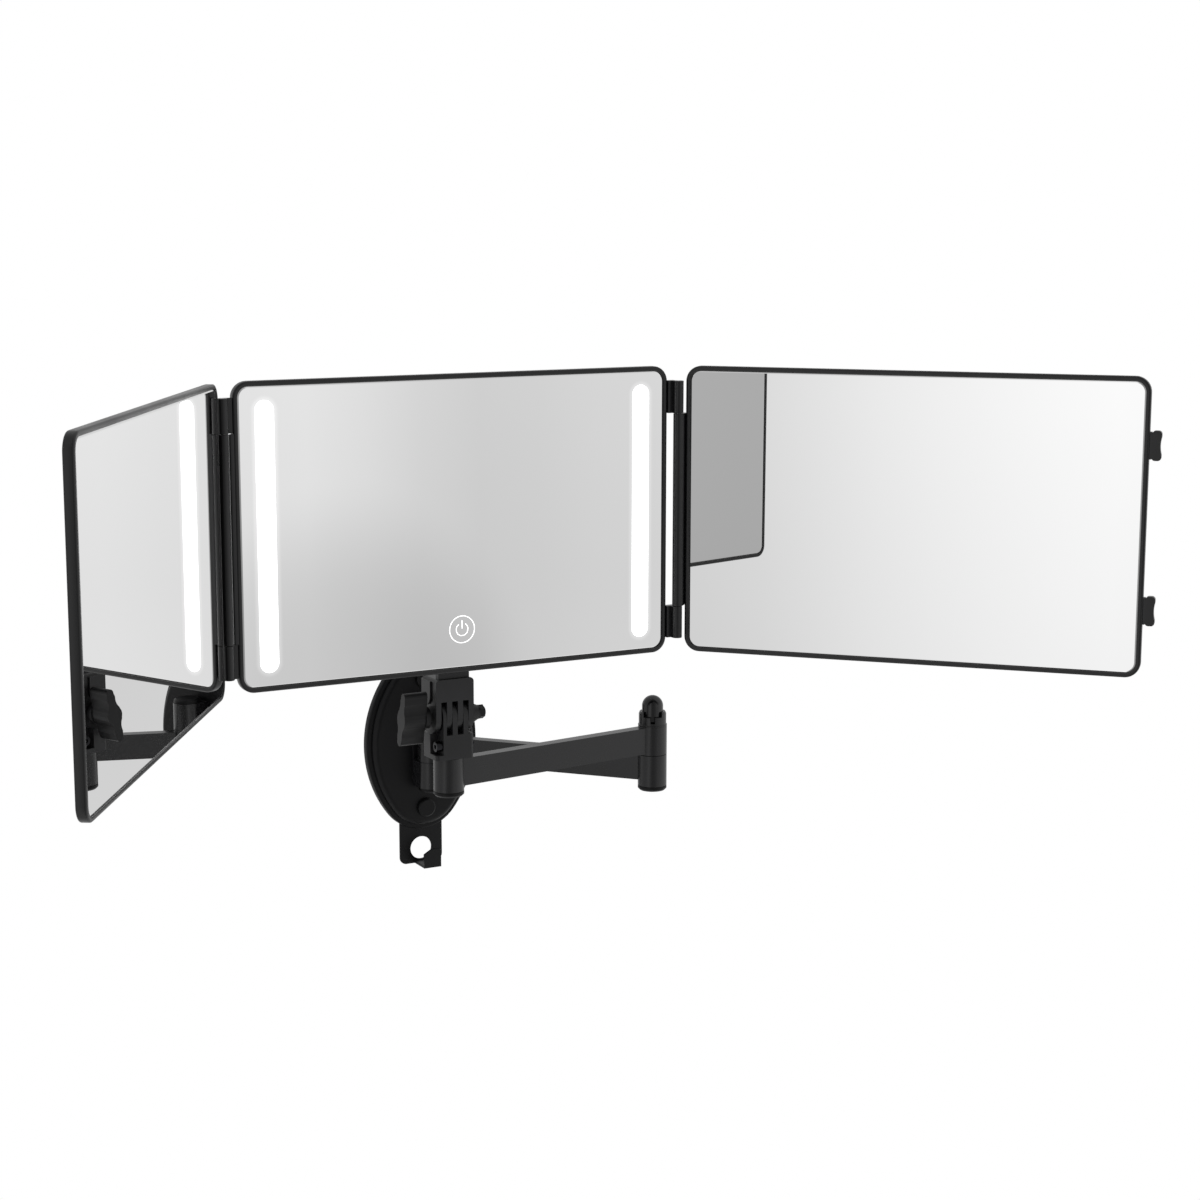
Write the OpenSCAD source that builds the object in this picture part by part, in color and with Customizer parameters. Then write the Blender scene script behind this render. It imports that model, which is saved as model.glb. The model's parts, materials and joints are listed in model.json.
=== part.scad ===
// Trifold wall mirror on a double swing arm.
// X runs along the wall to the viewer's right, +Y runs into the wall, +Z is up.
// The origin is the centre of the wall plate's back face. The mirror is open, as it stands in use.

/* [Mirror panels] */
// Width of the mirror glass that shows in each panel
glass_w = 351; // [300:1:420]
// Height of the mirror glass that shows in each panel
glass_h = 221; // [180:1:260]
// Thickness of the mirror glass
glass_t = 3; // [2:0.5:4]
// Width of the frame's rim seen from the front
rim_w = 3.5; // [2.5:0.5:6]
// How far the rim stands proud of the glass
rim_proud = 0.6; // [0.2:0.1:1.2]
// Thickness of the ledge that the glass rests on
ledge_t = 1.4; // [1:0.2:2.4]
// Thickness of the cover behind each side glass
side_back_t = 2; // [1.4:0.2:3]
// Outer corner radius of each frame
corner_r = 12; // [8:1:20]
// Rounding of the frame's long edges
frame_edge = 1.4; // [0.6:0.2:2]
// Width of the ledge that carries the glass
ledge_w = 8; // [5:1:11]
// Depth of the middle housing behind its ledge
housing_depth = 8.6; // [7.6:0.2:14]
// Wall of the middle housing
housing_wall = 1.8; // [1.2:0.2:2.4]

/* [Lights] */
// Width of each light strip
strip_w = 14.5; // [8:0.5:20]
// Distance from the glass top and bottom edges to the ends of the light strips
strip_end = 10.5; // [9:0.5:50]
// Distance from the glass side edge to the light strip
strip_inset = 13; // [11:1:30]
// Number of light emitting chips on each board
chip_count = 16; // [6:1:20]
// Diameter of the touch pad behind the power mark
touch_d = 21; // [14:1:30]
// Height of the power mark above the lower glass edge
touch_h = 29.7; // [20:0.1:50]

/* [Panel hinges] */
// Radius of the hinge knuckles
knuckle_r = 4; // [3.2:0.2:5]
// Radius of the hinge pins
hinge_pin_r = 1.5; // [1:0.1:2]
// Half length of the long middle barrel
barrel_half = 77; // [50:1:85]
// Half length of the whole hinge
hinge_half = 102.5; // [92:0.5:108]
// Left hinge axis to the middle frame's edge
left_reach = 7.8; // [6:0.1:12]
// Left hinge axis to the left frame's edge
left_edge_gap = 7; // [5:0.1:10]
// Left hinge axis in front of the middle glass face
left_front = 0.5; // [0:0.1:2]
// Left hinge axis in front of the left glass face when flat
left_sink = 1.8; // [1.6:0.1:3]
// Right hinge axis to the middle frame's edge
right_reach = 7.5; // [6:0.1:12]
// Right hinge axis to the right frame's edge
right_edge_gap = 4.5; // [4.4:0.1:8]
// Right hinge axis in front of the middle glass face
right_front = 5; // [4.6:0.1:8]
// Right hinge axis in front of the right glass face when flat
right_sink = 5.6; // [5.4:0.1:8]
// How far the left panel is folded forward
left_fold = 58; // [0:1:90]
// How far the right panel is folded forward
right_fold = 46; // [0:1:90]

/* [Snap clips] */
// Height of each snap clip
clip_h = 22.5; // [14:0.5:30]
// How far each clip reaches past the frame
clip_reach = 8.8; // [6:0.2:12]
// Clip centre above and below the panel's middle
clip_z = 62.5; // [40:0.5:80]

/* [Tilt head] */
// Width of the tilt blocks
block_w = 32; // [26:1:40]
// Radius of the interleaved fingers
finger_r = 13; // [10:0.5:14]
// Number of fingers on the upper block
finger_count = 4; // [3:1:5]
// Side clearance between neighbouring fingers
finger_gap = 0.3; // [0.2:0.05:0.5]
// Thickness of each upper finger
finger_t = 4.4; // [3.6:0.1:5]
// Height of the tilt axis
tilt_z = 69; // [64:1:76]
// Height of the upper block's top
block_top = 100; // [96:1:102]
// Height of the lower block's underside
block_foot = 36.3; // [36.2:0.1:38]
// Height of the lower frame edge above the tilt axis
mirror_rise = 39; // [36:1:50]
// Swivel axis to the middle glass face
glass_reach = 27; // [26:0.5:40]
// Radius of the tilt bolt
bolt_r = 3; // [2:0.5:4]
// Length of the clamp knob along its axis
knob_l = 22; // [14:1:30]
// Height of the clamp knob across its wings
knob_span = 44; // [30:1:52]
// Lean of the clamp knob's wings
knob_lean = 14; // [0:1:30]

/* [Arms] */
// Distance between the two pivots of each arm
arm_l = 201; // [150:1:260]
// Height of the arm bars
arm_h = 22; // [18:0.5:26]
// Thickness of the arm bars
arm_t = 10; // [8:0.5:14]
// Outer radius of the pivot knuckles
pivot_r = 12; // [11:0.5:14]
// Radius of the pivot pins
pin_r = 4; // [3:0.5:5]
// Direction of the rear arm away from the wall, from +X
rear_angle = -48.2; // [-60:0.1:-30]
// Direction of the front arm away from the elbow, from +X
front_angle = 188.2; // [180:0.1:200]
// Half height of the rear arm's wall knuckle
rear_half = 12.3; // [11:0.1:14]
// Radius of the dome on the elbow
dome_r = 8.8; // [7:0.1:9]
// Height of the dome's top above the elbow knuckle
dome_rise = 25.2; // [20:0.2:30]
// Height of the collar round the dome
collar_h = 12; // [10:0.5:14]

/* [Wall plate] */
// Width of the wall plate
plate_w = 104; // [90:1:130]
// Height of the wall plate
plate_h = 156; // [146:1:190]
// Radius of the plate's top and bottom ends
plate_end_r = 38; // [30:1:44]
// Depth of the wall plate's back flange
plate_t = 7; // [5:0.5:9]
// Depth of the cover on the back flange
cover_t = 6; // [4:0.5:8]
// Width of the flange that shows round the cover
cover_inset = 4.6; // [1:0.2:6]
// Rounding of the cover's front edge
cover_round = 4.8; // [1:0.2:5]
// Wall to the pivot axis
pivot_out = 26; // [25.5:0.5:34]
// Screw centres above and below the plate's middle
screw_z = 57; // [48:1:60]
// Radius of the wall screw holes
screw_hole_r = 2.75; // [2:0.25:3.5]
// Diameter of the round screw caps
cap_d = 16; // [12:0.5:17]
// How far the screw caps stand out
cap_t = 3.8; // [2:0.2:5]
// Height of the wall pivot's lugs
lug_h = 23; // [16:1:24]

/* [Hook] */
// Width of the sheet tab under the plate
tab_w = 40; // [30:1:50]
// Distance from the plate's middle down to the tab's lower edge
tab_drop = 109.5; // [100:0.5:130]
// Thickness of the tab's sheet
sheet_t = 2; // [1.5:0.25:3]
// Diameter of the hanging hole
hang_d = 20; // [14:0.5:24]
// Width of the hook's tongue
tongue_w = 16; // [10:1:20]
// How far the tongue sits to the right of the tab's middle
tongue_shift = 1.8; // [-3:0.1:3]
// How far the tongue reaches in front of the wall
tongue_out = 22.7; // [16:0.1:30]
// Height of the tongue's upturned lip
lip_h = 16.5; // [10:0.5:24]

/* [Hidden] */
$fn = 64;
soft_fn = 32;

// Clearances
running = 0.05;
body_gap = 0.3;
seat_gap = 0.2;

// Colours
black_satin = "#1c1c1e";
black_metal = "#232326";
black_gloss = "#121214";
mirror_silver = "#dcdcdc";
opal_white = "#ffffff";
steel = "#9a9a9c";
board_green = "#1f5a36";

// Pivots, seen from above
elbow_x = arm_l * cos(rear_angle);
elbow_y = -pivot_out + arm_l * sin(rear_angle);
head_x = elbow_x + arm_l * cos(front_angle);
head_y = elbow_y + arm_l * sin(front_angle);

// Levels of the arms
bar_step = 0.2;
lug_in = rear_half + body_gap;
rear_elbow_low = -16.2;
rear_elbow_top = 10.2;
rear_bar_low = rear_elbow_top - bar_step - arm_h;
front_elbow_low = rear_elbow_top + body_gap;
front_bar_low = front_elbow_low + 1.3;
front_elbow_top = front_bar_low + arm_h + 0.7;
front_swivel_low = 9;
front_swivel_top = block_foot - body_gap;
end_cap_h = 3.7;
cap_hold = 2;

// Panels
frame_w = glass_w + 2 * rim_w;
frame_h = glass_h + 2 * rim_w;
pocket_w = glass_w + 2 * seat_gap;
pocket_h = glass_h + 2 * seat_gap;
inner_r = corner_r - rim_w;
frame_back = glass_t + ledge_t + side_back_t + seat_gap;
center_z = tilt_z + mirror_rise + frame_h / 2;
housing_back = glass_t + ledge_t + housing_depth;
strip_l = glass_h - 2 * strip_end;

// Hinge axes from the swivel axis
left_hinge_x = -(frame_w / 2 + left_reach);
left_hinge_y = -(glass_reach + left_front);
right_hinge_x = frame_w / 2 + right_reach;
right_hinge_y = -(glass_reach + right_front);

// Tilt head
finger_pitch = (block_w - finger_t) / (finger_count - 1);
lower_finger_t = finger_pitch - finger_t - 2 * finger_gap;
slot_end = finger_r + body_gap;

// Oval outline of the wall plate: two long side arcs and two end arcs
function side_arc(a, b, r) = (a * a + (b - r) * (b - r) - r * r) / (2 * (a - r));

module oval(w, h, r) {
  side_r = side_arc(w / 2, h / 2, r);
  side_x = side_r - w / 2;
  end_z = h / 2 - r;
  reach = sqrt(side_x * side_x + end_z * end_z);
  join_z = end_z + r * end_z / reach;
  intersection() {
    translate([-side_x, 0]) circle(side_r, $fn = 2 * $fn);
    translate([side_x, 0]) circle(side_r, $fn = 2 * $fn);
    square([w, 2 * join_z], center = true);
  }
  for (s = [-1, 1]) translate([0, s * end_z]) circle(r);
}

module rounded_rect(w, h, r) {
  square([w - 2 * r, h], center = true);
  square([w, h - 2 * r], center = true);
  for (x = [-1, 1], z = [-1, 1]) translate([x * (w / 2 - r), z * (h / 2 - r)]) circle(r);
}

module slot_2d(w, h) {
  square([w, h - w], center = true);
  for (z = [-1, 1]) translate([0, z * (h - w) / 2]) circle(w / 2);
}

// Stands a drawing in X and Z up and gives it depth from y0 to y1
module upright(y0, y1) {
  translate([0, y1, 0]) rotate([90, 0, 0]) linear_extrude(y1 - y0) children();
}

// A rounded slab whose front and back edges are rounded by e
module soft_slab(w, h, r, y0, y1, e) {
  steps = [[0, 1], [0.3, 0.3], [1, 0]];
  hull() for (s = steps)
    upright(y0 + s[0] * e, y1 - s[0] * e)
      rounded_rect(w - 2 * s[1] * e, h - 2 * s[1] * e, r - s[1] * e, $fn = soft_fn);
}

module at_elbow() {
  translate([elbow_x, elbow_y, 0]) children();
}

module at_head() {
  translate([head_x, head_y, 0]) children();
}

// Middle panel: glass face at y = 0, centre of the glass at the origin
module at_center() {
  at_head() translate([0, -glass_reach, center_z]) children();
}

module at_left() {
  at_head() translate([left_hinge_x, left_hinge_y, center_z]) rotate([0, 0, left_fold]) children();
}

module at_right() {
  at_head() translate([right_hinge_x, right_hinge_y, center_z]) rotate([0, 0, -right_fold]) children();
}

module left_panel() {
  at_left() translate([-(left_edge_gap + frame_w / 2), left_sink, 0]) children();
}

module right_panel() {
  at_right() translate([right_edge_gap + frame_w / 2, right_sink, 0]) children();
}

// Frame of one panel: a rim, a ledge under the glass and a recess for the back
module panel_frame() {
  color(black_satin) difference() {
    soft_slab(frame_w, frame_h, corner_r, -rim_proud, frame_back, frame_edge);
    upright(-rim_proud - 1, glass_t) rounded_rect(pocket_w, pocket_h, inner_r);
    upright(glass_t + ledge_t, frame_back + 1) rounded_rect(pocket_w, pocket_h, inner_r);
    upright(0, frame_back) rounded_rect(glass_w - 2 * ledge_w, glass_h - 2 * ledge_w, inner_r - 4);
  }
}

module panel_glass() {
  color(mirror_silver) upright(0, glass_t) rounded_rect(glass_w, glass_h, inner_r);
}

module panel_back() {
  color(black_satin) upright(glass_t + ledge_t, glass_t + ledge_t + side_back_t)
    rounded_rect(glass_w, glass_h, inner_r);
}

module strips() {
  for (s = [-1, 1]) translate([s * (glass_w / 2 - strip_inset - strip_w / 2), 0]) children();
}

module center_frame() {
  at_center() panel_frame();
}

module center_glass() {
  color(mirror_silver) at_center() upright(0, glass_t) difference() {
    rounded_rect(glass_w, glass_h, inner_r);
    strips() slot_2d(strip_w + seat_gap, strip_l + seat_gap);
  }
}

flange_w = 2;
flange_t = 1.4;

module led_diffusers() {
  color(opal_white) at_center() {
    upright(0, glass_t) strips() slot_2d(strip_w, strip_l);
    upright(glass_t, glass_t + flange_t) strips() slot_2d(strip_w + flange_w, strip_l + flange_w);
  }
}

// Light boards lie on the housing floor, chips facing the diffusers
board_t = 1.4;
board_slim = 3;
board_short = 6;
chip_w = 3;
chip_t = 0.8;
chip_ends = 14;
floor_y = housing_back - housing_wall;
board_in = glass_w / 2 - strip_inset - strip_w + board_slim / 2;

module led_boards() {
  at_center() {
    color(board_green) upright(floor_y - board_t, floor_y) strips()
      square([strip_w - board_slim, strip_l - board_short], center = true);
    color("#f4f2e6") upright(floor_y - board_t - chip_t, floor_y - board_t) strips()
      for (i = [0 : chip_count - 1])
        translate([0, (i - (chip_count - 1) / 2) * (strip_l - chip_ends) / chip_count])
          square([chip_w, chip_w], center = true);
  }
}

// The control board and the battery lie between a light board and the carrier's bosses
carry_dx = 64;
boss_r = 4;
boss_out = carry_dx / 2 + boss_r;
control_gap = 30.5;
control_boss_gap = 13;
control_h = 26;
control_w = board_in - control_gap - boss_out - control_boss_gap;
socket_x = board_in - control_gap - control_w / 2;
socket_w = 9.2;
socket_h = 3.4;
socket_l = 7.4;
socket_y = floor_y - board_t - 2.4;
mark_z = -glass_h / 2 + touch_h;

// Rear housing: a tray with a boss for each carrier screw and an opening for the charging socket
module center_back() {
  color(black_satin) at_center() difference() {
    union() {
      difference() {
        soft_slab(glass_w, glass_h, inner_r, glass_t + ledge_t, housing_back, 3);
        upright(glass_t + ledge_t - 1, floor_y)
          rounded_rect(glass_w - 2 * housing_wall, glass_h - 2 * housing_wall, inner_r - housing_wall);
      }
      upright(floor_y - boss_h, floor_y + 0.5) carrier_points() circle(boss_r);
    }
    translate([socket_x, socket_y, -glass_h / 2]) cube([socket_w, socket_h, 12], center = true);
    upright(floor_y - boss_h - 1, housing_back + 1) carrier_points() circle(carry_hole_r, $fn = 32);
  }
}

module control_board() {
  at_center() translate([socket_x, 0, -glass_h / 2 + 20]) {
    color(board_green) upright(floor_y - board_t, floor_y) square([control_w, control_h], center = true);
    color(black_gloss) upright(floor_y - board_t - 1.2, floor_y - board_t) {
      translate([-14, 4]) square([9, 9], center = true);
      translate([6, 4]) square([5, 6], center = true);
    }
    color(steel) upright(floor_y - board_t - 2, floor_y - board_t) translate([22, 5]) circle(4);
  }
}

battery_gap = 17.5;
battery_boss_gap = 4;
battery_w = board_in - battery_gap - boss_out - battery_boss_gap;
battery_h = 56;
battery_x = board_in - battery_gap - battery_w / 2;

module battery_pack() {
  color("#6f7f95") at_center() translate([-battery_x, 0, -glass_h / 2 + 46])
    upright(floor_y - 4.2, floor_y) rounded_rect(battery_w, battery_h, 3);
}

module touch_pad() {
  color("#b98a3c") at_center() translate([0, 0, mark_z])
    upright(glass_t, glass_t + 0.9) circle(touch_d / 2);
}

module charge_socket() {
  socket_z = -glass_h / 2 + 0.4;
  color(steel) at_center() difference() {
    translate([socket_x, socket_y, socket_z + socket_l / 2])
      linear_extrude(socket_l, center = true) rounded_rect(socket_w - seat_gap, socket_h - seat_gap, 1.4);
    translate([socket_x, socket_y, socket_z + socket_l / 2 - 1])
      linear_extrude(socket_l, center = true) rounded_rect(socket_w - 1, socket_h - 1, 1.1);
  }
}

// Steel plate that carries the middle panel, and its four screws
carry_w = 84;
carry_h = 74;
carry_t = 3;
carry_z = -glass_h / 2 + 44;
carry_dz = 52;
carry_hole_r = 2.1;
boss_h = 4.4;
neck_holes = [-glass_h / 2 + 24, -glass_h / 2 + 44];

module carrier_points() {
  for (x = [-1, 1], z = [-1, 1]) translate([x * carry_dx / 2, carry_z + z * carry_dz / 2]) children();
}

module bracket_plate() {
  color(black_metal) at_center() upright(housing_back, housing_back + carry_t) difference() {
    translate([0, carry_z]) rounded_rect(carry_w, carry_h, 8);
    carrier_points() circle(carry_hole_r, $fn = 32);
    for (z = neck_holes) translate([0, z]) circle(carry_hole_r, $fn = 32);
  }
}

// Button head screw, its head at the origin and its shank down -Z
module button_screw(grip) {
  difference() {
    union() {
      rotate_extrude($fn = 32) polygon([[0, 2.2], [2, 2.2], [3.4, 1.4], [3.8, 0], [0, 0]]);
      translate([0, 0, -grip]) cylinder(grip, r = carry_hole_r - running, $fn = 32);
    }
    translate([0, 0, 1]) cylinder(2, r = 1.6, $fn = 6);
  }
}

module bracket_screws() {
  color(steel) at_center() for (x = [-1, 1], z = [-1, 1])
    translate([x * carry_dx / 2, housing_back + carry_t, carry_z + z * carry_dz / 2])
      rotate([-90, 0, 0]) button_screw(carry_t + housing_wall + boss_h - 1);
}

module neck_screws() {
  color(steel) at_center() for (z = neck_holes)
    translate([0, housing_back + carry_t + neck_t, z]) rotate([-90, 0, 0]) button_screw(neck_t + carry_t);
}

// Fingers and blocks of the tilt head, drawn from the side: Y to the right, Z up
module along_x(x0, x1) {
  translate([x0, 0, 0]) rotate([90, 0, 90]) linear_extrude(x1 - x0) children();
}

module upper_finger_2d() {
  translate([-finger_r, 0]) square([2 * finger_r, slot_end + 1]);
  circle(finger_r);
}

module lower_finger_2d() {
  translate([-finger_r, -slot_end - 1]) square([2 * finger_r, slot_end + 1]);
  circle(finger_r);
}

neck_w = 26;
neck_t = 5;
gusset_rise = 22;
pad_proud = 1.4;
pad_r = 8;
pad_y = 3.5;
pad_z = tilt_z + finger_r + 4.7;

module tilt_block() {
  neck_y = housing_back + carry_t - glass_reach;
  neck_top = center_z + neck_holes[1] + neck_w / 2;
  color(black_satin) at_head() difference() {
    union() {
      translate([0, 0, tilt_z]) for (i = [0 : finger_count - 1])
        along_x(-block_w / 2 + i * finger_pitch, -block_w / 2 + i * finger_pitch + finger_t)
          upper_finger_2d();
      // Solid head over the fingers, its top corners rounded
      upright(-finger_r, finger_r) {
        translate([-block_w / 2, tilt_z + slot_end]) square([block_w, block_top - tilt_z - slot_end - 3]);
        translate([-block_w / 2 + 3, block_top - 4]) square([block_w - 6, 4]);
        for (s = [-1, 1]) translate([s * (block_w / 2 - 3), block_top - 3]) circle(3);
      }
      // Neck up the back of the carrier plate, braced by a gusset
      upright(neck_y, neck_y + neck_t) {
        translate([-neck_w / 2, block_top - 2]) square([neck_w, neck_top - block_top + 2 - neck_w / 2]);
        translate([0, neck_top - neck_w / 2]) circle(neck_w / 2);
      }
      along_x(-4, 4) polygon([
        [neck_y + 1, block_top - 1], [finger_r - 2, block_top - 1], [finger_r - 2, block_top + 1.5],
        [neck_y + neck_t, block_top + gusset_rise], [neck_y + 1, block_top + gusset_rise]
      ]);
      // Raised pad on the knob's side
      along_x(-block_w / 2 - pad_proud, -block_w / 2 + 1) {
        translate([pad_y - pad_r, pad_z]) square([2 * pad_r, block_top - 2 - pad_z]);
        translate([pad_y, pad_z]) circle(pad_r);
      }
    }
    translate([-block_w, 0, tilt_z]) rotate([0, 90, 0]) cylinder(2 * block_w, r = bolt_r + running);
    for (z = neck_holes) translate([0, neck_y + neck_t + 1, center_z + z]) rotate([90, 0, 0])
      cylinder(neck_t + 2, r = carry_hole_r, $fn = 32);
  }
}

pocket_t = 6;
clamp_z = block_foot + 10.5;
clamp_y = -8;
clamp_r = 1.6;
clamp_head_r = 4;
clamp_head_h = 5;
post_bore = 11;

module swivel_block() {
  color(black_satin) at_head() difference() {
    union() {
      translate([0, 0, tilt_z]) for (i = [0 : finger_count - 2])
        along_x(-block_w / 2 + finger_t + finger_gap + i * finger_pitch,
                -block_w / 2 + finger_t + finger_gap + i * finger_pitch + lower_finger_t)
          lower_finger_2d();
      translate([0, 0, block_foot]) linear_extrude(tilt_z - slot_end - block_foot)
        rounded_rect(block_w, 2 * finger_r, 3);
    }
    translate([-block_w, 0, tilt_z]) rotate([0, 90, 0]) cylinder(2 * block_w, r = bolt_r + running);
    // Pocket at the left front edge for the clamp screw
    translate([-block_w / 2 - 1, -finger_r - 1, block_foot + 4]) cube([pocket_t + 1, finger_r, tilt_z]);
    translate([-block_w, clamp_y, clamp_z]) rotate([0, 90, 0]) cylinder(2 * block_w, r = clamp_r);
    translate([0, 0, block_foot - 1]) cylinder(post_bore, r = pin_r + running);
  }
}

module clamp_screw() {
  head_face = -block_w / 2 + pocket_t;
  color(steel) at_head() translate([head_face, clamp_y, clamp_z]) rotate([0, 90, 0]) difference() {
    union() {
      translate([0, 0, -clamp_head_h]) cylinder(clamp_head_h, r = clamp_head_r);
      cylinder(block_w - pocket_t + 1.5, r = clamp_r - running);
    }
    translate([0, 0, -clamp_head_h - 1]) cylinder(3.4, r = clamp_head_r / 2, $fn = 6);
  }
}

module swivel_post() {
  low = front_swivel_low - body_gap - cap_hold;
  color(steel) at_head() translate([0, 0, low]) cylinder(block_foot + post_bore - 2 - low, r = pin_r);
}

// Round end cap with a chamfered lower edge and a blind bore for its pin
module end_cap(r, h, bore_depth) {
  difference() {
    rotate_extrude() polygon([[0, 0], [r - 1.6, 0], [r, 1.6], [r, h], [0, h]]);
    translate([0, 0, h - bore_depth]) cylinder(bore_depth + 1, r = pin_r + running);
  }
}

module swivel_end_cap() {
  color(black_metal) at_head() translate([0, 0, front_swivel_low - body_gap - end_cap_h])
    end_cap(pivot_r, end_cap_h, 2);
}

module tilt_bolt() {
  color(steel) at_head() translate([-block_w / 2 - bolt_in_knob, 0, tilt_z]) rotate([0, 90, 0])
    cylinder(block_w + bolt_in_knob + bolt_in_nut, r = bolt_r);
}

// Flanged cap nut: long cone, collar and hexagon
nut_base_r = 9.4;
nut_neck_r = 5.6;
nut_cone_l = 8.6;
nut_collar_l = 1.2;
nut_hex_l = 3.8;
nut_end_l = 0.9;
bolt_in_knob = 6;
bolt_in_nut = 11;

module tilt_nut() {
  color(black_metal) at_head() translate([block_w / 2, 0, tilt_z]) rotate([0, 90, 0]) difference() {
    union() {
      rotate_extrude() polygon([
        [0, 0], [nut_base_r, 0], [nut_base_r, 1], [nut_neck_r, nut_cone_l],
        [nut_neck_r, nut_cone_l + nut_collar_l], [0, nut_cone_l + nut_collar_l]
      ]);
      translate([0, 0, nut_cone_l + nut_collar_l]) cylinder(nut_hex_l, r = nut_neck_r, $fn = 6);
      translate([0, 0, nut_cone_l + nut_collar_l + nut_hex_l])
        cylinder(nut_end_l, r1 = nut_neck_r - 0.8, r2 = nut_neck_r - 1.7);
    }
    translate([0, 0, -1]) cylinder(bolt_in_nut + 2, r = bolt_r + running);
  }
}

// Wing with a round tip that widens to the hub, its flanks crossing both circles
module wing_2d(span, tip_r, root_r) {
  lift = span / 2 - tip_r;
  half_tip = 0.97 * tip_r;
  half_root = 0.97 * root_r;
  circle(root_r);
  translate([0, lift]) circle(tip_r);
  polygon([[-half_root, 0], [half_root, 0], [half_tip, lift], [-half_tip, lift]]);
}

hub_r = 8.6;
hub_gap = 0.5;
wing_root_r = 7.4;
wing_tip_r = 3.5;
waist_r = 10.6;
waist_z = 11.5;
waist_half = 3.9;

module tilt_knob() {
  hub_x = -block_w / 2 - pad_proud - hub_gap;
  color(black_satin) at_head() translate([0, 0, tilt_z]) rotate([knob_lean, 0, 0]) difference() {
    union() {
      difference() {
        along_x(hub_x - knob_l, hub_x - 3) for (a = [0, 180]) rotate(a)
          wing_2d(knob_span, wing_tip_r, wing_root_r);
        // Waists that give the wings their waved faces
        for (s = [-1, 1], side = [-1, 1])
          translate([hub_x - knob_l - 1, side * (waist_r + waist_half), s * waist_z]) rotate([0, 90, 0])
            cylinder(knob_l, r = waist_r);
      }
      translate([hub_x - 4, 0, 0]) rotate([0, 90, 0]) cylinder(4, r = hub_r);
    }
    translate([hub_x - 12, 0, 0]) rotate([0, 90, 0]) cylinder(14, r = bolt_r + running);
  }
}

// Swing arms
module arm_bar(angle, z0) {
  rotate([0, 0, angle]) translate([pivot_r - 2, -arm_t / 2, z0])
    cube([arm_l - 2 * pivot_r + 4, arm_t, arm_h]);
}

// Bore for a pivot pin through everything between two levels
module pin_bore(z0, z1) {
  translate([0, 0, z0 - 1]) cylinder(z1 - z0 + 2, r = pin_r + running);
}

module rear_arm() {
  color(black_satin) difference() {
    union() {
      translate([0, -pivot_out, 0]) {
        translate([0, 0, -rear_half]) cylinder(2 * rear_half, r = pivot_r);
        arm_bar(rear_angle, rear_bar_low);
      }
      at_elbow() translate([0, 0, rear_elbow_low]) cylinder(rear_elbow_top - rear_elbow_low, r = pivot_r);
    }
    translate([0, -pivot_out, 0]) pin_bore(-rear_half, rear_half);
    at_elbow() pin_bore(rear_elbow_low, rear_elbow_top);
  }
}

module front_arm() {
  color(black_satin) difference() {
    union() {
      at_elbow() {
        translate([0, 0, front_elbow_low]) cylinder(front_elbow_top - front_elbow_low, r = pivot_r);
        arm_bar(front_angle, front_bar_low);
      }
      at_head() translate([0, 0, front_swivel_low])
        cylinder(front_swivel_top - front_swivel_low, r = pivot_r);
    }
    at_elbow() pin_bore(front_elbow_low, front_elbow_top);
    at_head() pin_bore(front_swivel_low, front_swivel_top);
  }
}

collar_wall = 2.6;
collar_base = 1.2;
dome_seat = 4;
dome_lift = 0.2;
pin_rise = 3;

module elbow_pin() {
  low = rear_elbow_low - body_gap - cap_hold;
  color(steel) at_elbow() translate([0, 0, low]) cylinder(front_elbow_top + pin_rise - low, r = pin_r);
}

module elbow_end_cap() {
  color(black_metal) at_elbow() translate([0, 0, rear_elbow_low - body_gap - end_cap_h])
    end_cap(pivot_r, end_cap_h, 2);
}

// Collar on the elbow: two raised ears, a front notch and a cup for the dome
module elbow_collar() {
  outer_r = dome_r + collar_wall;
  ear_gap = 1.7 * dome_r;
  rim_drop = 4;
  notch_w = 3.6;
  notch_foot = 3;
  color(black_metal) at_elbow() translate([0, 0, front_elbow_top]) difference() {
    rotate_extrude() polygon([
      [0, 0], [pivot_r, 0], [pivot_r, collar_base], [outer_r, collar_base], [outer_r, collar_h - 2],
      [outer_r - 0.8, collar_h], [0, collar_h]
    ]);
    translate([0, 0, dome_seat]) cylinder(collar_h, r = dome_r + running);
    pin_bore(0, dome_seat);
    // The rim drops between the ears
    rotate([0, 0, -28]) {
      translate([-ear_gap / 2, -2 * outer_r, collar_h - rim_drop]) cube([ear_gap, 4 * outer_r, collar_h]);
      translate([-notch_w / 2, -2 * outer_r, notch_foot]) cube([notch_w, 2 * outer_r - 2, collar_h]);
    }
  }
}

module dome_cap() {
  straight = dome_rise - dome_seat - dome_lift - dome_r;
  color(black_gloss) at_elbow() translate([0, 0, front_elbow_top + dome_seat + dome_lift]) rotate_extrude()
    difference() {
      union() {
        square([dome_r, straight]);
        translate([0, straight]) circle(dome_r);
      }
      translate([-2 * dome_r, -dome_r]) square([2 * dome_r, 2 * dome_rise]);
      translate([-1, -dome_r]) square([2 * dome_r, dome_r]);
    }
}

// Wall side
plate_edge = 2;

// The plate's outline, drawn in by d
module inset_oval(d) {
  oval(plate_w - 2 * d, plate_h - 2 * d, plate_end_r - d);
}

module wall_plate() {
  color(black_satin) difference() {
    hull() for (s = [[0, 1], [0.3, 0.3], [1, 0]])
      upright(-plate_t + s[0] * plate_edge, 0)
        inset_oval(s[1] * plate_edge);
    for (s = [-1, 1]) translate([0, 1, s * screw_z]) rotate([90, 0, 0])
      cylinder(plate_t + 2, r = screw_hole_r);
    // Recess for the hook's sheet
    upright(-sheet_t, 1) translate([-tab_w / 2 - seat_gap, -plate_h])
      square([tab_w + 2 * seat_gap, tab_root()]);
  }
}

function tab_root() = plate_h - screw_z + 12;

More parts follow.
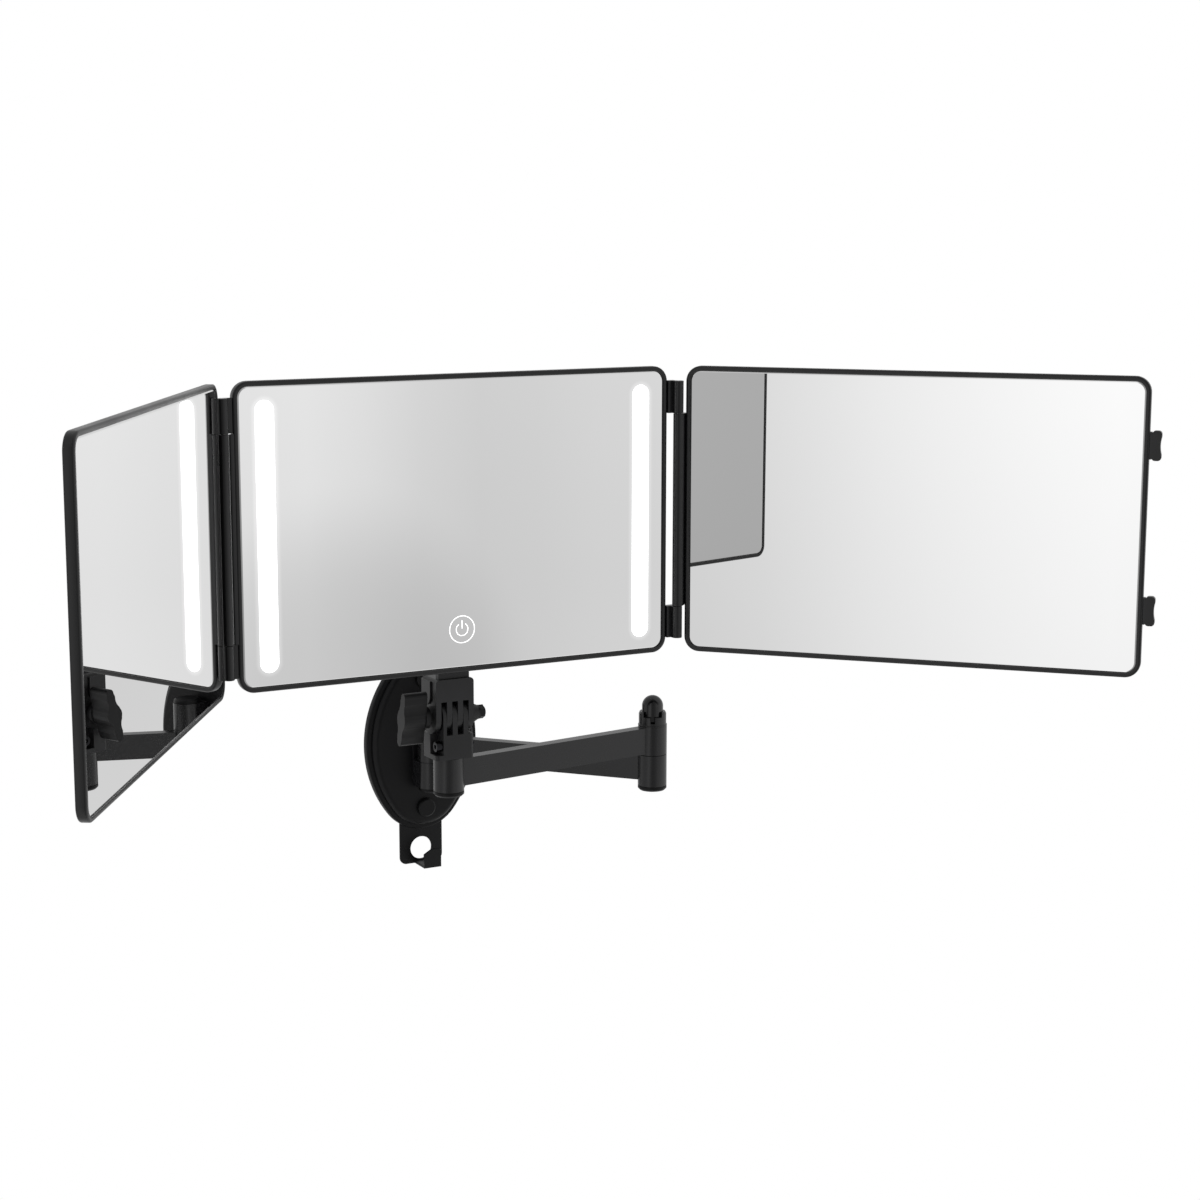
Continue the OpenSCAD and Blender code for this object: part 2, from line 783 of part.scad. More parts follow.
module wall_cover() {
  color(black_satin) difference() {
    hull() for (s = [[0.3, 0], [0.66, 0.2], [0.9, 0.55], [1, 1]])
      upright(-plate_t - s[0] * cover_t, -plate_t)
        inset_oval(cover_inset + s[1] * cover_round);
    for (s = [-1, 1]) translate([0, 0, s * screw_z]) rotate([90, 0, 0])
      cylinder(2 * (plate_t + cover_t), r = cap_d / 2 - 1);
  }
}

module screw_caps() {
  front = plate_t + cover_t;
  color(black_metal) for (s = [-1, 1]) translate([0, -front, s * screw_z]) rotate([90, 0, 0])
    rotate_extrude() polygon([
      [0, 0], [cap_d / 2, 0], [cap_d / 2, cap_t - 0.9], [cap_d / 2 - 1.1, cap_t], [0, cap_t]
    ]);
}

module wall_screws() {
  shank = plate_t;
  color(steel) for (s = [-1, 1]) translate([0, -plate_t, s * screw_z]) rotate([90, 0, 0]) difference() {
    union() {
      rotate_extrude() polygon([[0, 0], [4.6, 0], [4.4, 1.6], [3, 2.8], [0, 2.8]]);
      translate([0, 0, -shank + 1]) cylinder(shank - 1, r = screw_hole_r - running);
    }
    for (a = [0, 90]) rotate([0, 0, a]) translate([0, 0, 2.6]) cube([4.4, 1, 2], center = true);
  }
}

module pivot_bracket() {
  web_back = plate_t + cover_t;
  color(black_satin) difference() {
    union() {
      for (s = [-1, 1]) translate([0, 0, s > 0 ? lug_in : -lug_in - lug_h]) {
        translate([0, -pivot_out, 0]) cylinder(lug_h, r = pivot_r);
        translate([-pivot_r, -pivot_out, 0]) cube([2 * pivot_r, pivot_out - web_back - 1, lug_h]);
      }
      upright(-web_back - 2, -web_back) rounded_rect(2 * pivot_r, 2 * (lug_in + lug_h), 2);
    }
    translate([0, -pivot_out, 0]) pin_bore(-lug_in - lug_h, lug_in + lug_h);
    translate([0, -pivot_out, -lug_in]) cylinder(2 * lug_in, r = pivot_r + body_gap);
  }
}

module wall_pivot_pin() {
  half = lug_in + lug_h + cap_hold;
  color(steel) translate([0, -pivot_out, -half]) cylinder(2 * half, r = pin_r);
}

module pivot_caps() {
  top = lug_in + lug_h;
  color(black_metal) translate([0, -pivot_out, 0]) for (a = [0, 180]) rotate([a, 0, 0])
    translate([0, 0, -top - end_cap_h]) end_cap(pivot_r - 0.6, end_cap_h, 2.2);
}

// Sheet tab behind the plate with a hanging hole and an upturned hook
module hook_bracket() {
  tab_r = 6;
  top = -screw_z + 10;
  hole_rise = 13.3;
  lip_cut = [7, 4];
  color(black_metal) {
    difference() {
      union() {
        upright(-sheet_t, 0) {
          translate([-tab_w / 2, -tab_drop + tab_r]) square([tab_w, tab_drop - tab_r + top]);
          translate([-tab_w / 2 + tab_r, -tab_drop]) square([tab_w - 2 * tab_r, tab_r + 1]);
          for (s = [-1, 1]) translate([s * (tab_w / 2 - tab_r), -tab_drop + tab_r]) circle(tab_r);
        }
        translate([tongue_shift - tongue_w / 2, -tongue_out, -tab_drop])
          cube([tongue_w, tongue_out, sheet_t]);
        upright(-tongue_out, -tongue_out + sheet_t) translate([tongue_shift, -tab_drop]) polygon([
          [-tongue_w / 2, 0], [tongue_w / 2, 0], [tongue_w / 2, lip_h], [-tongue_w / 2 + lip_cut[0], lip_h],
          [-tongue_w / 2, lip_h - lip_cut[1]]
        ]);
      }
      translate([0, 1, -tab_drop + hole_rise]) rotate([90, 0, 0]) cylinder(sheet_t + 2, r = hang_d / 2);
      translate([0, 1, -screw_z]) rotate([90, 0, 0]) cylinder(sheet_t + 2, r = screw_hole_r + 0.25);
    }
  }
}

// Folding hinges: short outer knuckles on the middle panel, one long barrel on the side panel
module hinge_tube(z0, z1) {
  difference() {
    union() {
      translate([0, 0, z0]) cylinder(z1 - z0, r = knuckle_r);
      translate([0, 0, z0]) linear_extrude(z1 - z0) children();
    }
    translate([0, 0, z0 - 1]) cylinder(z1 - z0 + 2, r = hinge_pin_r + running);
  }
}

module hinge_pin() {
  color(steel) translate([0, 0, -hinge_half]) cylinder(2 * hinge_half, r = hinge_pin_r);
}

module left_hinge_knuckles() {
  color(black_satin) at_head() translate([left_hinge_x, left_hinge_y, center_z]) for (s = [-1, 1])
    hinge_tube(s > 0 ? barrel_half : -hinge_half, s > 0 ? hinge_half : -barrel_half)
      translate([0, left_front - rim_proud + frame_edge]) square([left_reach, knuckle_r - 1]);
}

module left_hinge_pin() {
  at_head() translate([left_hinge_x, left_hinge_y, center_z]) hinge_pin();
}

module left_hinge_barrel() {
  color(black_satin) at_left() hinge_tube(-barrel_half + body_gap, barrel_half - body_gap)
    translate([-left_edge_gap, left_sink - rim_proud + frame_edge]) square([left_edge_gap, 1.4]);
}

module right_hinge_knuckles() {
  color(black_satin) at_head() translate([right_hinge_x, right_hinge_y, center_z]) for (s = [-1, 1])
    hinge_tube(s > 0 ? barrel_half : -hinge_half, s > 0 ? hinge_half : -barrel_half)
      difference() {
        translate([-right_reach, 0]) square([right_reach + 1, right_front + 4]);
        translate([-right_reach - 1, -1])
          square([right_reach - 3, right_front - rim_proud + frame_edge - 2]);
        translate([0, knuckle_r - 0.6]) square([4, 20]);
      }
}

module right_hinge_pin() {
  at_head() translate([right_hinge_x, right_hinge_y, center_z]) hinge_pin();
}

module right_hinge_barrel() {
  color(black_satin) at_right() hinge_tube(-barrel_half + body_gap, barrel_half - body_gap)
    translate([0.5, 0]) square([right_edge_gap - 0.5, right_sink + 5]);
}

module left_frame() {
  left_panel() panel_frame();
}

module left_glass() {
  left_panel() panel_glass();
}

module left_back() {
  left_panel() panel_back();
}

module right_frame() {
  right_panel() panel_frame();
}

module right_glass() {
  right_panel() panel_glass();
}

module right_back() {
  right_panel() panel_back();
}

// Snap clips on the far edge of the right panel, their outer face hollowed for a fingertip
module snap_clips() {
  root = 1.6;
  hollow_r = 26;
  front = 1;
  back = frame_back - 0.6;
  corner = 2.6;
  color(black_satin) right_panel() for (s = [-1, 1]) translate([frame_w / 2, 0, s * clip_z])
    upright(front, back) difference() {
      union() {
        translate([0, -clip_h / 2 + 1]) square([root, clip_h - 2]);
        translate([(clip_reach + root) / 2, 0]) rounded_rect(clip_reach - root, clip_h, corner);
        translate([root - 0.2, -clip_h / 2 + corner]) square([3, clip_h - 2 * corner]);
      }
      translate([clip_reach + hollow_r - 0.9, 0]) circle(hollow_r, $fn = 96);
    }
}

wall_plate();
wall_cover();
hook_bracket();
wall_screws();
screw_caps();
pivot_bracket();
wall_pivot_pin();
pivot_caps();
rear_arm();
front_arm();
elbow_pin();
elbow_collar();
dome_cap();
elbow_end_cap();
swivel_block();
swivel_post();
swivel_end_cap();
clamp_screw();
tilt_block();
tilt_nut();
bracket_plate();
bracket_screws();
neck_screws();
center_frame();
center_back();
center_glass();
led_diffusers();
led_boards();
control_board();
battery_pack();
touch_pad();
charge_socket();
left_hinge_knuckles();
left_hinge_pin();
right_hinge_knuckles();
right_hinge_pin();
tilt_knob();
tilt_bolt();
left_frame();
left_glass();
left_back();
left_hinge_barrel();
right_frame();
right_glass();
right_back();
right_hinge_barrel();
snap_clips();
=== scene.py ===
"""Trifold wall mirror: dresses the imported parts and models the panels, light windows and power mark.

X runs along the wall to the viewer's right, +Y runs into the wall and +Z is up, in metres.
"""

import json
import logging
import math
from dataclasses import dataclass
from enum import Enum
from typing import Iterable, Sequence

import bmesh
import bpy
from mathutils import Euler, Matrix, Vector

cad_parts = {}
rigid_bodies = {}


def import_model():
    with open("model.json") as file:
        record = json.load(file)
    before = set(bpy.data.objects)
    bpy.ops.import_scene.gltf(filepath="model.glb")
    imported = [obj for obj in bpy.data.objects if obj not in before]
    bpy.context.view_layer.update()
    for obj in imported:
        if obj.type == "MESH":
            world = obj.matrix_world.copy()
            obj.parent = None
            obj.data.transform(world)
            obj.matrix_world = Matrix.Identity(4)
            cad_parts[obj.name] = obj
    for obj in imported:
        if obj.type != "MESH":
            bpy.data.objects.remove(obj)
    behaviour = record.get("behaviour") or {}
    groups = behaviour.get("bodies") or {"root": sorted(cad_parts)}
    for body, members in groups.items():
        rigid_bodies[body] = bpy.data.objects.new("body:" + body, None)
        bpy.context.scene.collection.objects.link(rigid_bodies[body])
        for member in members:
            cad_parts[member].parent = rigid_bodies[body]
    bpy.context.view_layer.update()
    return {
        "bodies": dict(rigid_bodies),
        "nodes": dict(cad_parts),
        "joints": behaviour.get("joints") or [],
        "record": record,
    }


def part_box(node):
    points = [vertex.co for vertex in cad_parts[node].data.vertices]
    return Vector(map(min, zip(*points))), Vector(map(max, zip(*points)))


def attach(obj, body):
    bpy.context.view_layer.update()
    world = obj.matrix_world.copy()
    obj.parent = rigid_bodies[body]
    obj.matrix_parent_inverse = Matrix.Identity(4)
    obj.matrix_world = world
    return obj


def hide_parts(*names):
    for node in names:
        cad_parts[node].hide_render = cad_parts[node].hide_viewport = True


LOG = logging.getLogger("trifold_mirror")
MM = 0.001

Point2 = tuple[float, float]
Point3 = tuple[float, float, float]

WHITE = (1.0, 1.0, 1.0, 1.0)
# Edges that turn by more than this many degrees stay crisp, the glass's ground edge among them
CRISP = 32.0
GLASS_CRISP = 8.0
# A band wave at scale 1 turns through this many radians in a metre
WAVE_RADIANS = 20
# How the right glass leans in its rim, in degrees about Z and about the panel's own X axis, so
# that it shows the left panel's lower corner
RIGHT_LEAN = (-3.9, -0.95)


def linear(hex_colour: str) -> tuple[float, float, float, float]:
    """Turns an sRGB hex colour into linear RGBA.

    Args:
        hex_colour: Six hex digits with a leading hash.

    Returns:
        The colour as Blender's shaders read it.
    """
    channels = [int(hex_colour[i:i + 2], 16) / 255 for i in (1, 3, 5)]
    red, green, blue = [c / 12.92 if c <= 0.04045 else ((c + 0.055) / 1.055) ** 2.4 for c in channels]
    return (red, green, blue, 1.0)


def grey(level: float) -> tuple[float, float, float, float]:
    """Turns a linear level into a grey RGBA."""
    return (level, level, level, 1.0)


def add_node(
    tree: bpy.types.NodeTree,
    kind: str,
    settings: dict | None = None,
    inputs: dict | None = None,
) -> bpy.types.Node:
    """Adds a shader node with its settings and its links.

    Args:
        tree: The node tree that gets the node.
        kind: The node's Blender type.
        settings: Attribute names with their values.
        inputs: Input names or indexes with a value, or with the output socket to link.

    Returns:
        The new node.
    """
    node = tree.nodes.new(kind)
    for name, value in (settings or {}).items():
        setattr(node, name, value)
    for name, value in (inputs or {}).items():
        if isinstance(value, bpy.types.NodeSocket):
            tree.links.new(value, node.inputs[name])
        else:
            node.inputs[name].default_value = value
    return node


def maths(
    tree: bpy.types.NodeTree, operation: str, first: bpy.types.NodeSocket, second: object,
) -> bpy.types.NodeSocket:
    """Adds one arithmetic step on two values and returns its output."""
    return add_node(tree, "ShaderNodeMath", {"operation": operation}, {0: first, 1: second}).outputs[0]


def new_material(name: str) -> tuple[bpy.types.Material, bpy.types.NodeTree]:
    """Makes an empty node material and returns it with its tree."""
    material = bpy.data.materials.new(name)
    material.use_nodes = True
    material.node_tree.nodes.clear()
    return material, material.node_tree


def per_metre(period_mm: float) -> float:
    """Turns the size of one grain of a pattern into a texture scale."""
    return 1.0 / (period_mm * MM)


class Surface(Enum):
    """The named finishes that the mirror's pieces take."""

    HOUSING_ABS = "housing_abs"
    FRAME_ABS = "frame_abs"
    ARM_COAT = "arm_coat"
    CAST_COAT = "cast_coat"
    SHEET_COAT = "sheet_coat"
    ZINC = "zinc"
    BLACK_OXIDE = "black_oxide"
    KNOB_NYLON = "knob_nylon"
    DOME_PVC = "dome_pvc"
    MIRROR = "mirror"
    OPAL = "opal"
    ETCHED_MARK = "etched_mark"
    BOARD = "board"
    SLEEVE = "sleeve"
    COPPER = "copper"


@dataclass(frozen=True)
class BlackFinish:
    """A black moulded or coated surface: a fine grain, soft sheen and slightly rubbed edges.

    Moulded ABS and nylon have a spark-eroded grain that breaks the highlight up, and powder coat
    has a finer orange peel. Both are dielectrics, so metallic stays at 0.
    """

    name: str
    colour: str
    worn: str
    roughness: float
    grain_mm: float
    grain_depth_mm: float
    specular: float
    handling_mm: float = 38.0
    sheen_range: tuple[float, float] = (-0.035, 0.045)
    worn_from: float = 0.52
    worn_to: float = 0.60
    worn_share: float = 0.55
    bump_strength: float = 0.55

    def material(self) -> bpy.types.Material:
        """Builds the node material."""
        material, tree = new_material(self.name)
        place = add_node(tree, "ShaderNodeTexCoord").outputs["Object"]
        grain = add_node(
            tree, "ShaderNodeTexNoise", {"noise_dimensions": "3D"},
            {"Vector": place, "Scale": per_metre(self.grain_mm), "Detail": 3.0, "Roughness": 0.6},
        )
        # Slow mottling of the sheen, as handling leaves on satin black
        handling = add_node(
            tree, "ShaderNodeTexNoise", {"noise_dimensions": "3D"},
            {"Vector": place, "Scale": per_metre(self.handling_mm), "Detail": 4.0, "Roughness": 0.55},
        )
        smoother, rougher = self.sheen_range
        sheen = add_node(
            tree, "ShaderNodeMapRange", {},
            {"Value": handling.outputs["Fac"], "From Min": 0.3, "From Max": 0.7,
             "To Min": self.roughness + smoother, "To Max": self.roughness + rougher},
        )
        # Rubbed edges, found by how much the surface bulges there
        geometry = add_node(tree, "ShaderNodeNewGeometry")
        edge = add_node(
            tree, "ShaderNodeMapRange", {},
            {"Value": geometry.outputs["Pointiness"], "From Min": self.worn_from, "From Max": self.worn_to,
             "To Min": 0.0, "To Max": self.worn_share},
        )
        tone = add_node(
            tree, "ShaderNodeMix", {"data_type": "RGBA"},
            {"Factor": edge.outputs["Result"], "A": linear(self.colour), "B": linear(self.worn)},
        )
        bump = add_node(
            tree, "ShaderNodeBump", {},
            {"Height": grain.outputs["Fac"], "Distance": self.grain_depth_mm * MM,
             "Strength": self.bump_strength},
        )
        shader = add_node(
            tree, "ShaderNodeBsdfPrincipled", {},
            {"Base Color": tone.outputs["Result"], "Roughness": sheen.outputs["Result"],
             "Normal": bump.outputs["Normal"], "IOR": 1.5, "Specular IOR Level": self.specular},
        )
        add_node(tree, "ShaderNodeOutputMaterial", {}, {"Surface": shader.outputs["BSDF"]})
        return material


@dataclass(frozen=True)
class PlatedSteel:
    """Zinc-plated or blackened steel: metallic, with a fine turned grain along one direction."""

    name: str
    colour: str
    roughness: float
    grain_mm: float
    grain_stretch: float = 6.0
    sheen_range: tuple[float, float] = (-0.06, 0.08)

    def material(self) -> bpy.types.Material:
        """Builds the node material."""
        material, tree = new_material(self.name)
        place = add_node(tree, "ShaderNodeTexCoord").outputs["Object"]
        stretch = add_node(
            tree, "ShaderNodeMapping", {}, {"Vector": place, "Scale": (1.0, 1.0, self.grain_stretch)},
        )
        grain = add_node(
            tree, "ShaderNodeTexNoise", {},
            {"Vector": stretch.outputs["Vector"], "Scale": per_metre(self.grain_mm), "Detail": 2.0},
        )
        smoother, rougher = self.sheen_range
        rough = add_node(
            tree, "ShaderNodeMapRange", {},
            {"Value": grain.outputs["Fac"], "From Min": 0.3, "From Max": 0.7,
             "To Min": self.roughness + smoother, "To Max": self.roughness + rougher},
        )
        shader = add_node(
            tree, "ShaderNodeBsdfPrincipled", {},
            {"Base Color": linear(self.colour), "Metallic": 1.0, "Roughness": rough.outputs["Result"]},
        )
        add_node(tree, "ShaderNodeOutputMaterial", {}, {"Surface": shader.outputs["BSDF"]})
        return material


@dataclass(frozen=True)
class SilveredGlass:
    """Float glass silvered on its back: a near-perfect mirror of neutral tone.

    The glow is painted light: emission in the glass that stands in for the light the etched
    windows scatter sideways into it, a soft painted halo a few millimetres wide along each window.
    """

    name: str
    colour: str
    roughness: float
    swell_colour: str = "#f4f4f4"
    swell_mm: float = 120.0

    def material(
        self, glow: "PaintedStripGlow | None" = None, lean: Euler | None = None,
    ) -> bpy.types.Material:
        """Builds the node material.

        Args:
            glow: The light windows' painted halo, an emission in the glass, where the glass has any.
            lean: How the silvered face leans in its rim, where it isn't true.

        Returns:
            The new material.
        """
        material, tree = new_material(self.name)
        place = add_node(tree, "ShaderNodeTexCoord").outputs["Object"]
        # Float glass is flat to a few microns, and this slow swell is drawn as a faint tone
        swell = add_node(
            tree, "ShaderNodeTexNoise", {},
            {"Vector": place, "Scale": per_metre(self.swell_mm), "Detail": 2.0},
        )
        tone = add_node(
            tree, "ShaderNodeMix", {"data_type": "RGBA"},
            {"Factor": swell.outputs["Fac"], "A": linear(self.colour), "B": linear(self.swell_colour)},
        )
        shader = add_node(
            tree, "ShaderNodeBsdfPrincipled", {},
            {"Base Color": tone.outputs["Result"], "Metallic": 1.0, "Roughness": self.roughness},
        )
        if lean is not None:
            facing = add_node(tree, "ShaderNodeNewGeometry").outputs["Normal"]
            own = add_node(
                tree, "ShaderNodeVectorTransform",
                {"vector_type": "NORMAL", "convert_from": "WORLD", "convert_to": "OBJECT"}, {0: facing},
            )
            leant = add_node(
                tree, "ShaderNodeVectorRotate", {"rotation_type": "EULER_XYZ"},
                {"Vector": own.outputs[0], "Rotation": lean},
            )
            back = add_node(
                tree, "ShaderNodeVectorTransform",
                {"vector_type": "NORMAL", "convert_from": "OBJECT", "convert_to": "WORLD"},
                {0: leant.outputs["Vector"]},
            )
            tree.links.new(back.outputs[0], shader.inputs["Normal"])
        # Painted glow: emission added to the glass in a halo round each light window
        if glow is not None:
            tree.links.new(glow.strength(tree, place), shader.inputs["Emission Strength"])
            shader.inputs["Emission Color"].default_value = linear("#ffffff")
        add_node(tree, "ShaderNodeOutputMaterial", {}, {"Surface": shader.outputs["BSDF"]})
        return material


@dataclass(frozen=True)
class PaintedStripGlow:
    """Where the two light windows lie, and how far the painted halo round them reaches in the glass."""

    centres_x: tuple[float, float]
    centre_z: float
    half_width: float
    half_length: float
    reach: float
    peak: float

    def strength(self, tree: bpy.types.NodeTree, place: bpy.types.NodeSocket) -> bpy.types.NodeSocket:
        """Adds the nodes that measure the distance to the nearest window.

        Args:
            tree: The glass material's node tree.
            place: The object coordinates.

        Returns:
            The socket with the painted halo's emission strength.
        """
        axes = add_node(tree, "ShaderNodeSeparateXYZ", {}, {"Vector": place})
        total = None
        for centre_x in self.centres_x:
            gaps = []
            for axis, centre, half in (
                ("X", centre_x, 0.0), ("Z", self.centre_z, self.half_length - self.half_width),
            ):
                offset = maths(tree, "SUBTRACT", axes.outputs[axis], centre)
                beyond = maths(tree, "SUBTRACT", maths(tree, "ABSOLUTE", offset, 0.0), half)
                gaps.append(maths(tree, "MAXIMUM", beyond, 0.0))
            square = maths(
                tree, "ADD",
                maths(tree, "MULTIPLY", gaps[0], gaps[0]),
                maths(tree, "MULTIPLY", gaps[1], gaps[1]),
            )
            distance = maths(tree, "SQRT", square, 0.0)
            # Painted halo: the emission falls off smoothly with the distance from the window
            painted_halo = add_node(
                tree, "ShaderNodeMapRange", {"interpolation_type": "SMOOTHERSTEP"},
                {"Value": distance, "From Min": self.half_width, "From Max": self.half_width + self.reach,
                 "To Min": self.peak, "To Max": 0.0},
            ).outputs["Result"]
            total = painted_halo if total is None else maths(tree, "ADD", total, painted_halo)
        return total


@dataclass(frozen=True)
class GlowingOpal:
    """Opal acrylic lit from behind: an even white with a faint ripple from the row of chips."""

    name: str
    strength: float
    chip_pitch_mm: float = 11.6
    dimmest: float = 0.97

    def material(self) -> bpy.types.Material:
        """Builds the node material."""
        material, tree = new_material(self.name)
        place = add_node(tree, "ShaderNodeTexCoord").outputs["Object"]
        # Each chip takes half a wave
        scale = per_metre(self.chip_pitch_mm) / WAVE_RADIANS * math.tau / 2
        ripple = add_node(
            tree, "ShaderNodeTexWave",
            {"wave_type": "BANDS", "bands_direction": "Z", "wave_profile": "SIN"},
            {"Vector": place, "Scale": scale},
        )
        level = add_node(
            tree, "ShaderNodeMapRange", {},
            {"Value": ripple.outputs["Fac"], "To Min": self.strength * self.dimmest,
             "To Max": self.strength},
        )
        shader = add_node(
            tree, "ShaderNodeBsdfPrincipled", {},
            {"Base Color": linear("#fafafa"), "Roughness": 0.35, "Emission Color": linear("#ffffff"),
             "Emission Strength": level.outputs["Result"]},
        )
        add_node(tree, "ShaderNodeOutputMaterial", {}, {"Surface": shader.outputs["BSDF"]})
        return material


@dataclass(frozen=True)
class PlainPart:
    """An inner piece's finish: solder mask, shrink sleeve or foil, mottled at a fine scale."""

    name: str
    colour: str
    fleck: str
    roughness: float
    metallic: float
    fleck_mm: float

    def material(self) -> bpy.types.Material:
        """Builds the node material."""
        material, tree = new_material(self.name)
        place = add_node(tree, "ShaderNodeTexCoord").outputs["Object"]
        cells = add_node(
            tree, "ShaderNodeTexVoronoi", {}, {"Vector": place, "Scale": per_metre(self.fleck_mm)},
        )
        tone = add_node(
            tree, "ShaderNodeMix", {"data_type": "RGBA"},
            {"Factor": cells.outputs["Distance"], "A": linear(self.colour), "B": linear(self.fleck)},
        )
        shader = add_node(
            tree, "ShaderNodeBsdfPrincipled", {},
            {"Base Color": tone.outputs["Result"], "Metallic": self.metallic, "Roughness": self.roughness},
        )
        add_node(tree, "ShaderNodeOutputMaterial", {}, {"Surface": shader.outputs["BSDF"]})
        return material


FINISHES = {
    # Spark-eroded ABS: a soft, broad highlight that stays low
    Surface.HOUSING_ABS: BlackFinish("housing_abs", "#0e0e0f", "#19191b", 0.42, 0.55, 0.012, 0.16),
    # Finer ABS of the panel frames: a tighter sheen along the edges
    Surface.FRAME_ABS: BlackFinish("frame_abs", "#0c0c0d", "#19191b", 0.30, 0.45, 0.006, 0.42),
    # Powder coat on the arms: smooth, with a faint orange peel
    Surface.ARM_COAT: BlackFinish("arm_powder_coat", "#121213", "#1e1e20", 0.26, 0.9, 0.009, 0.44),
    Surface.CAST_COAT: BlackFinish("cast_powder_coat", "#121213", "#1e1e20", 0.42, 0.7, 0.020, 0.36),
    Surface.SHEET_COAT: BlackFinish("sheet_powder_coat", "#0e0e0f", "#19191b", 0.42, 0.8, 0.012, 0.2),
    # Glass-filled nylon: duller, with a coarser skin
    Surface.KNOB_NYLON: BlackFinish("knob_nylon", "#0e0e0f", "#1a1a1c", 0.44, 0.6, 0.022, 0.26),
    Surface.DOME_PVC: BlackFinish("dome_pvc", "#0b0b0c", "#141416", 0.18, 1.4, 0.004, 0.5),
    Surface.ZINC: PlatedSteel("zinc_plated_steel", "#b9b9bb", 0.28, 0.35),
    # Chemically blackened steel: still a metal, dark with a soft oily sheen
    Surface.BLACK_OXIDE: PlatedSteel("black_oxide_steel", "#2b2b2d", 0.34, 0.35),
    Surface.MIRROR: SilveredGlass("silvered_float_glass", "#f3f3f3", 0.004),
    Surface.OPAL: GlowingOpal("opal_acrylic", 1.6),
    Surface.ETCHED_MARK: GlowingOpal("etched_mark", 1.1),
    Surface.BOARD: PlainPart("solder_mask", "#14502f", "#1c6a40", 0.35, 0.0, 2.2),
    Surface.SLEEVE: PlainPart("shrink_sleeve", "#5d6f88", "#6c7f99", 0.30, 0.0, 5.0),
    Surface.COPPER: PlainPart("copper_foil", "#b87a45", "#c98d58", 0.25, 1.0, 1.5),
}


class MaterialShelf:
    """Makes each finish once and hands it out."""

    def __init__(self) -> None:
        """Starts with nothing made."""
        self.made: dict[Surface, bpy.types.Material] = {}

    def get(self, surface: Surface) -> bpy.types.Material:
        """Returns the material of a surface, made on first use."""
        if surface not in self.made:
            self.made[surface] = FINISHES[surface].material()
        return self.made[surface]


def mesh_object(
    name: str, mesh: bmesh.types.BMesh, material: bpy.types.Material, smooth_below: float = CRISP,
) -> bpy.types.Object:
    """Turns a bmesh into a linked object with outward normals.

    Args:
        name: The piece's name.
        mesh: The bmesh, which is freed.
        material: The piece's only material.
        smooth_below: Edges sharper than this angle in degrees stay crisp.

    Returns:
        The new object.
    """
    bmesh.ops.recalc_face_normals(mesh, faces=mesh.faces)
    data = bpy.data.meshes.new(name)
    mesh.to_mesh(data)
    mesh.free()
    data.materials.append(material)
    data.shade_smooth()
    data.set_sharp_from_angle(angle=math.radians(smooth_below))
    piece = bpy.data.objects.new(name, data)
    bpy.context.scene.collection.objects.link(piece)
    return piece


def settle(piece: bpy.types.Object, body: str, slot: str, *nodes: str) -> bpy.types.Object:
    """Rides a piece on its body and hides the nodes that it stands for."""
    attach(piece, body)
    if nodes:
        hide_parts(*nodes)
    LOG.info("%s rides on %s", piece.name, body)
    return piece


def rounded_outline(width: float, height: float, radius: float, steps: int = 10) -> list[Point2]:
    """Points round a rounded rectangle, centred, anticlockwise.

    Args:
        width: Full width.
        height: Full height.
        radius: Corner radius.
        steps: Segments in each corner.

    Returns:
        The outline's points.
    """
    points = []
    for quarter, (sx, sz) in enumerate(((1, 1), (-1, 1), (-1, -1), (1, -1))):
        for i in range(steps + 1):
            angle = math.pi / 2 * (quarter + i / steps)
            points.append((
                sx * (width / 2 - radius) + radius * math.cos(angle),
                sz * (height / 2 - radius) + radius * math.sin(angle),
            ))
    return points


def glass_face_centre() -> Vector:
    """Finds the middle of the middle glass's front face."""
    low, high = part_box("center_glass")
    return Vector(((low.x + high.x) / 2, low.y, (low.z + high.z) / 2))


def add_loop(
    mesh: bmesh.types.BMesh, outline: Iterable[Point2], depth: float,
) -> list[bmesh.types.BMVert]:
    """Adds one ring of vertices in X and Z at a depth in Y."""
    return [mesh.verts.new((x, depth, z)) for x, z in outline]


def bridge(
    mesh: bmesh.types.BMesh,
    first: Sequence[bmesh.types.BMVert],
    second: Sequence[bmesh.types.BMVert],
) -> None:
    """Joins two rings of equal length with quads."""
    count = len(first)
    for i in range(count):
        j = (i + 1) % count
        mesh.faces.new((first[i], first[j], second[j], second[i]))


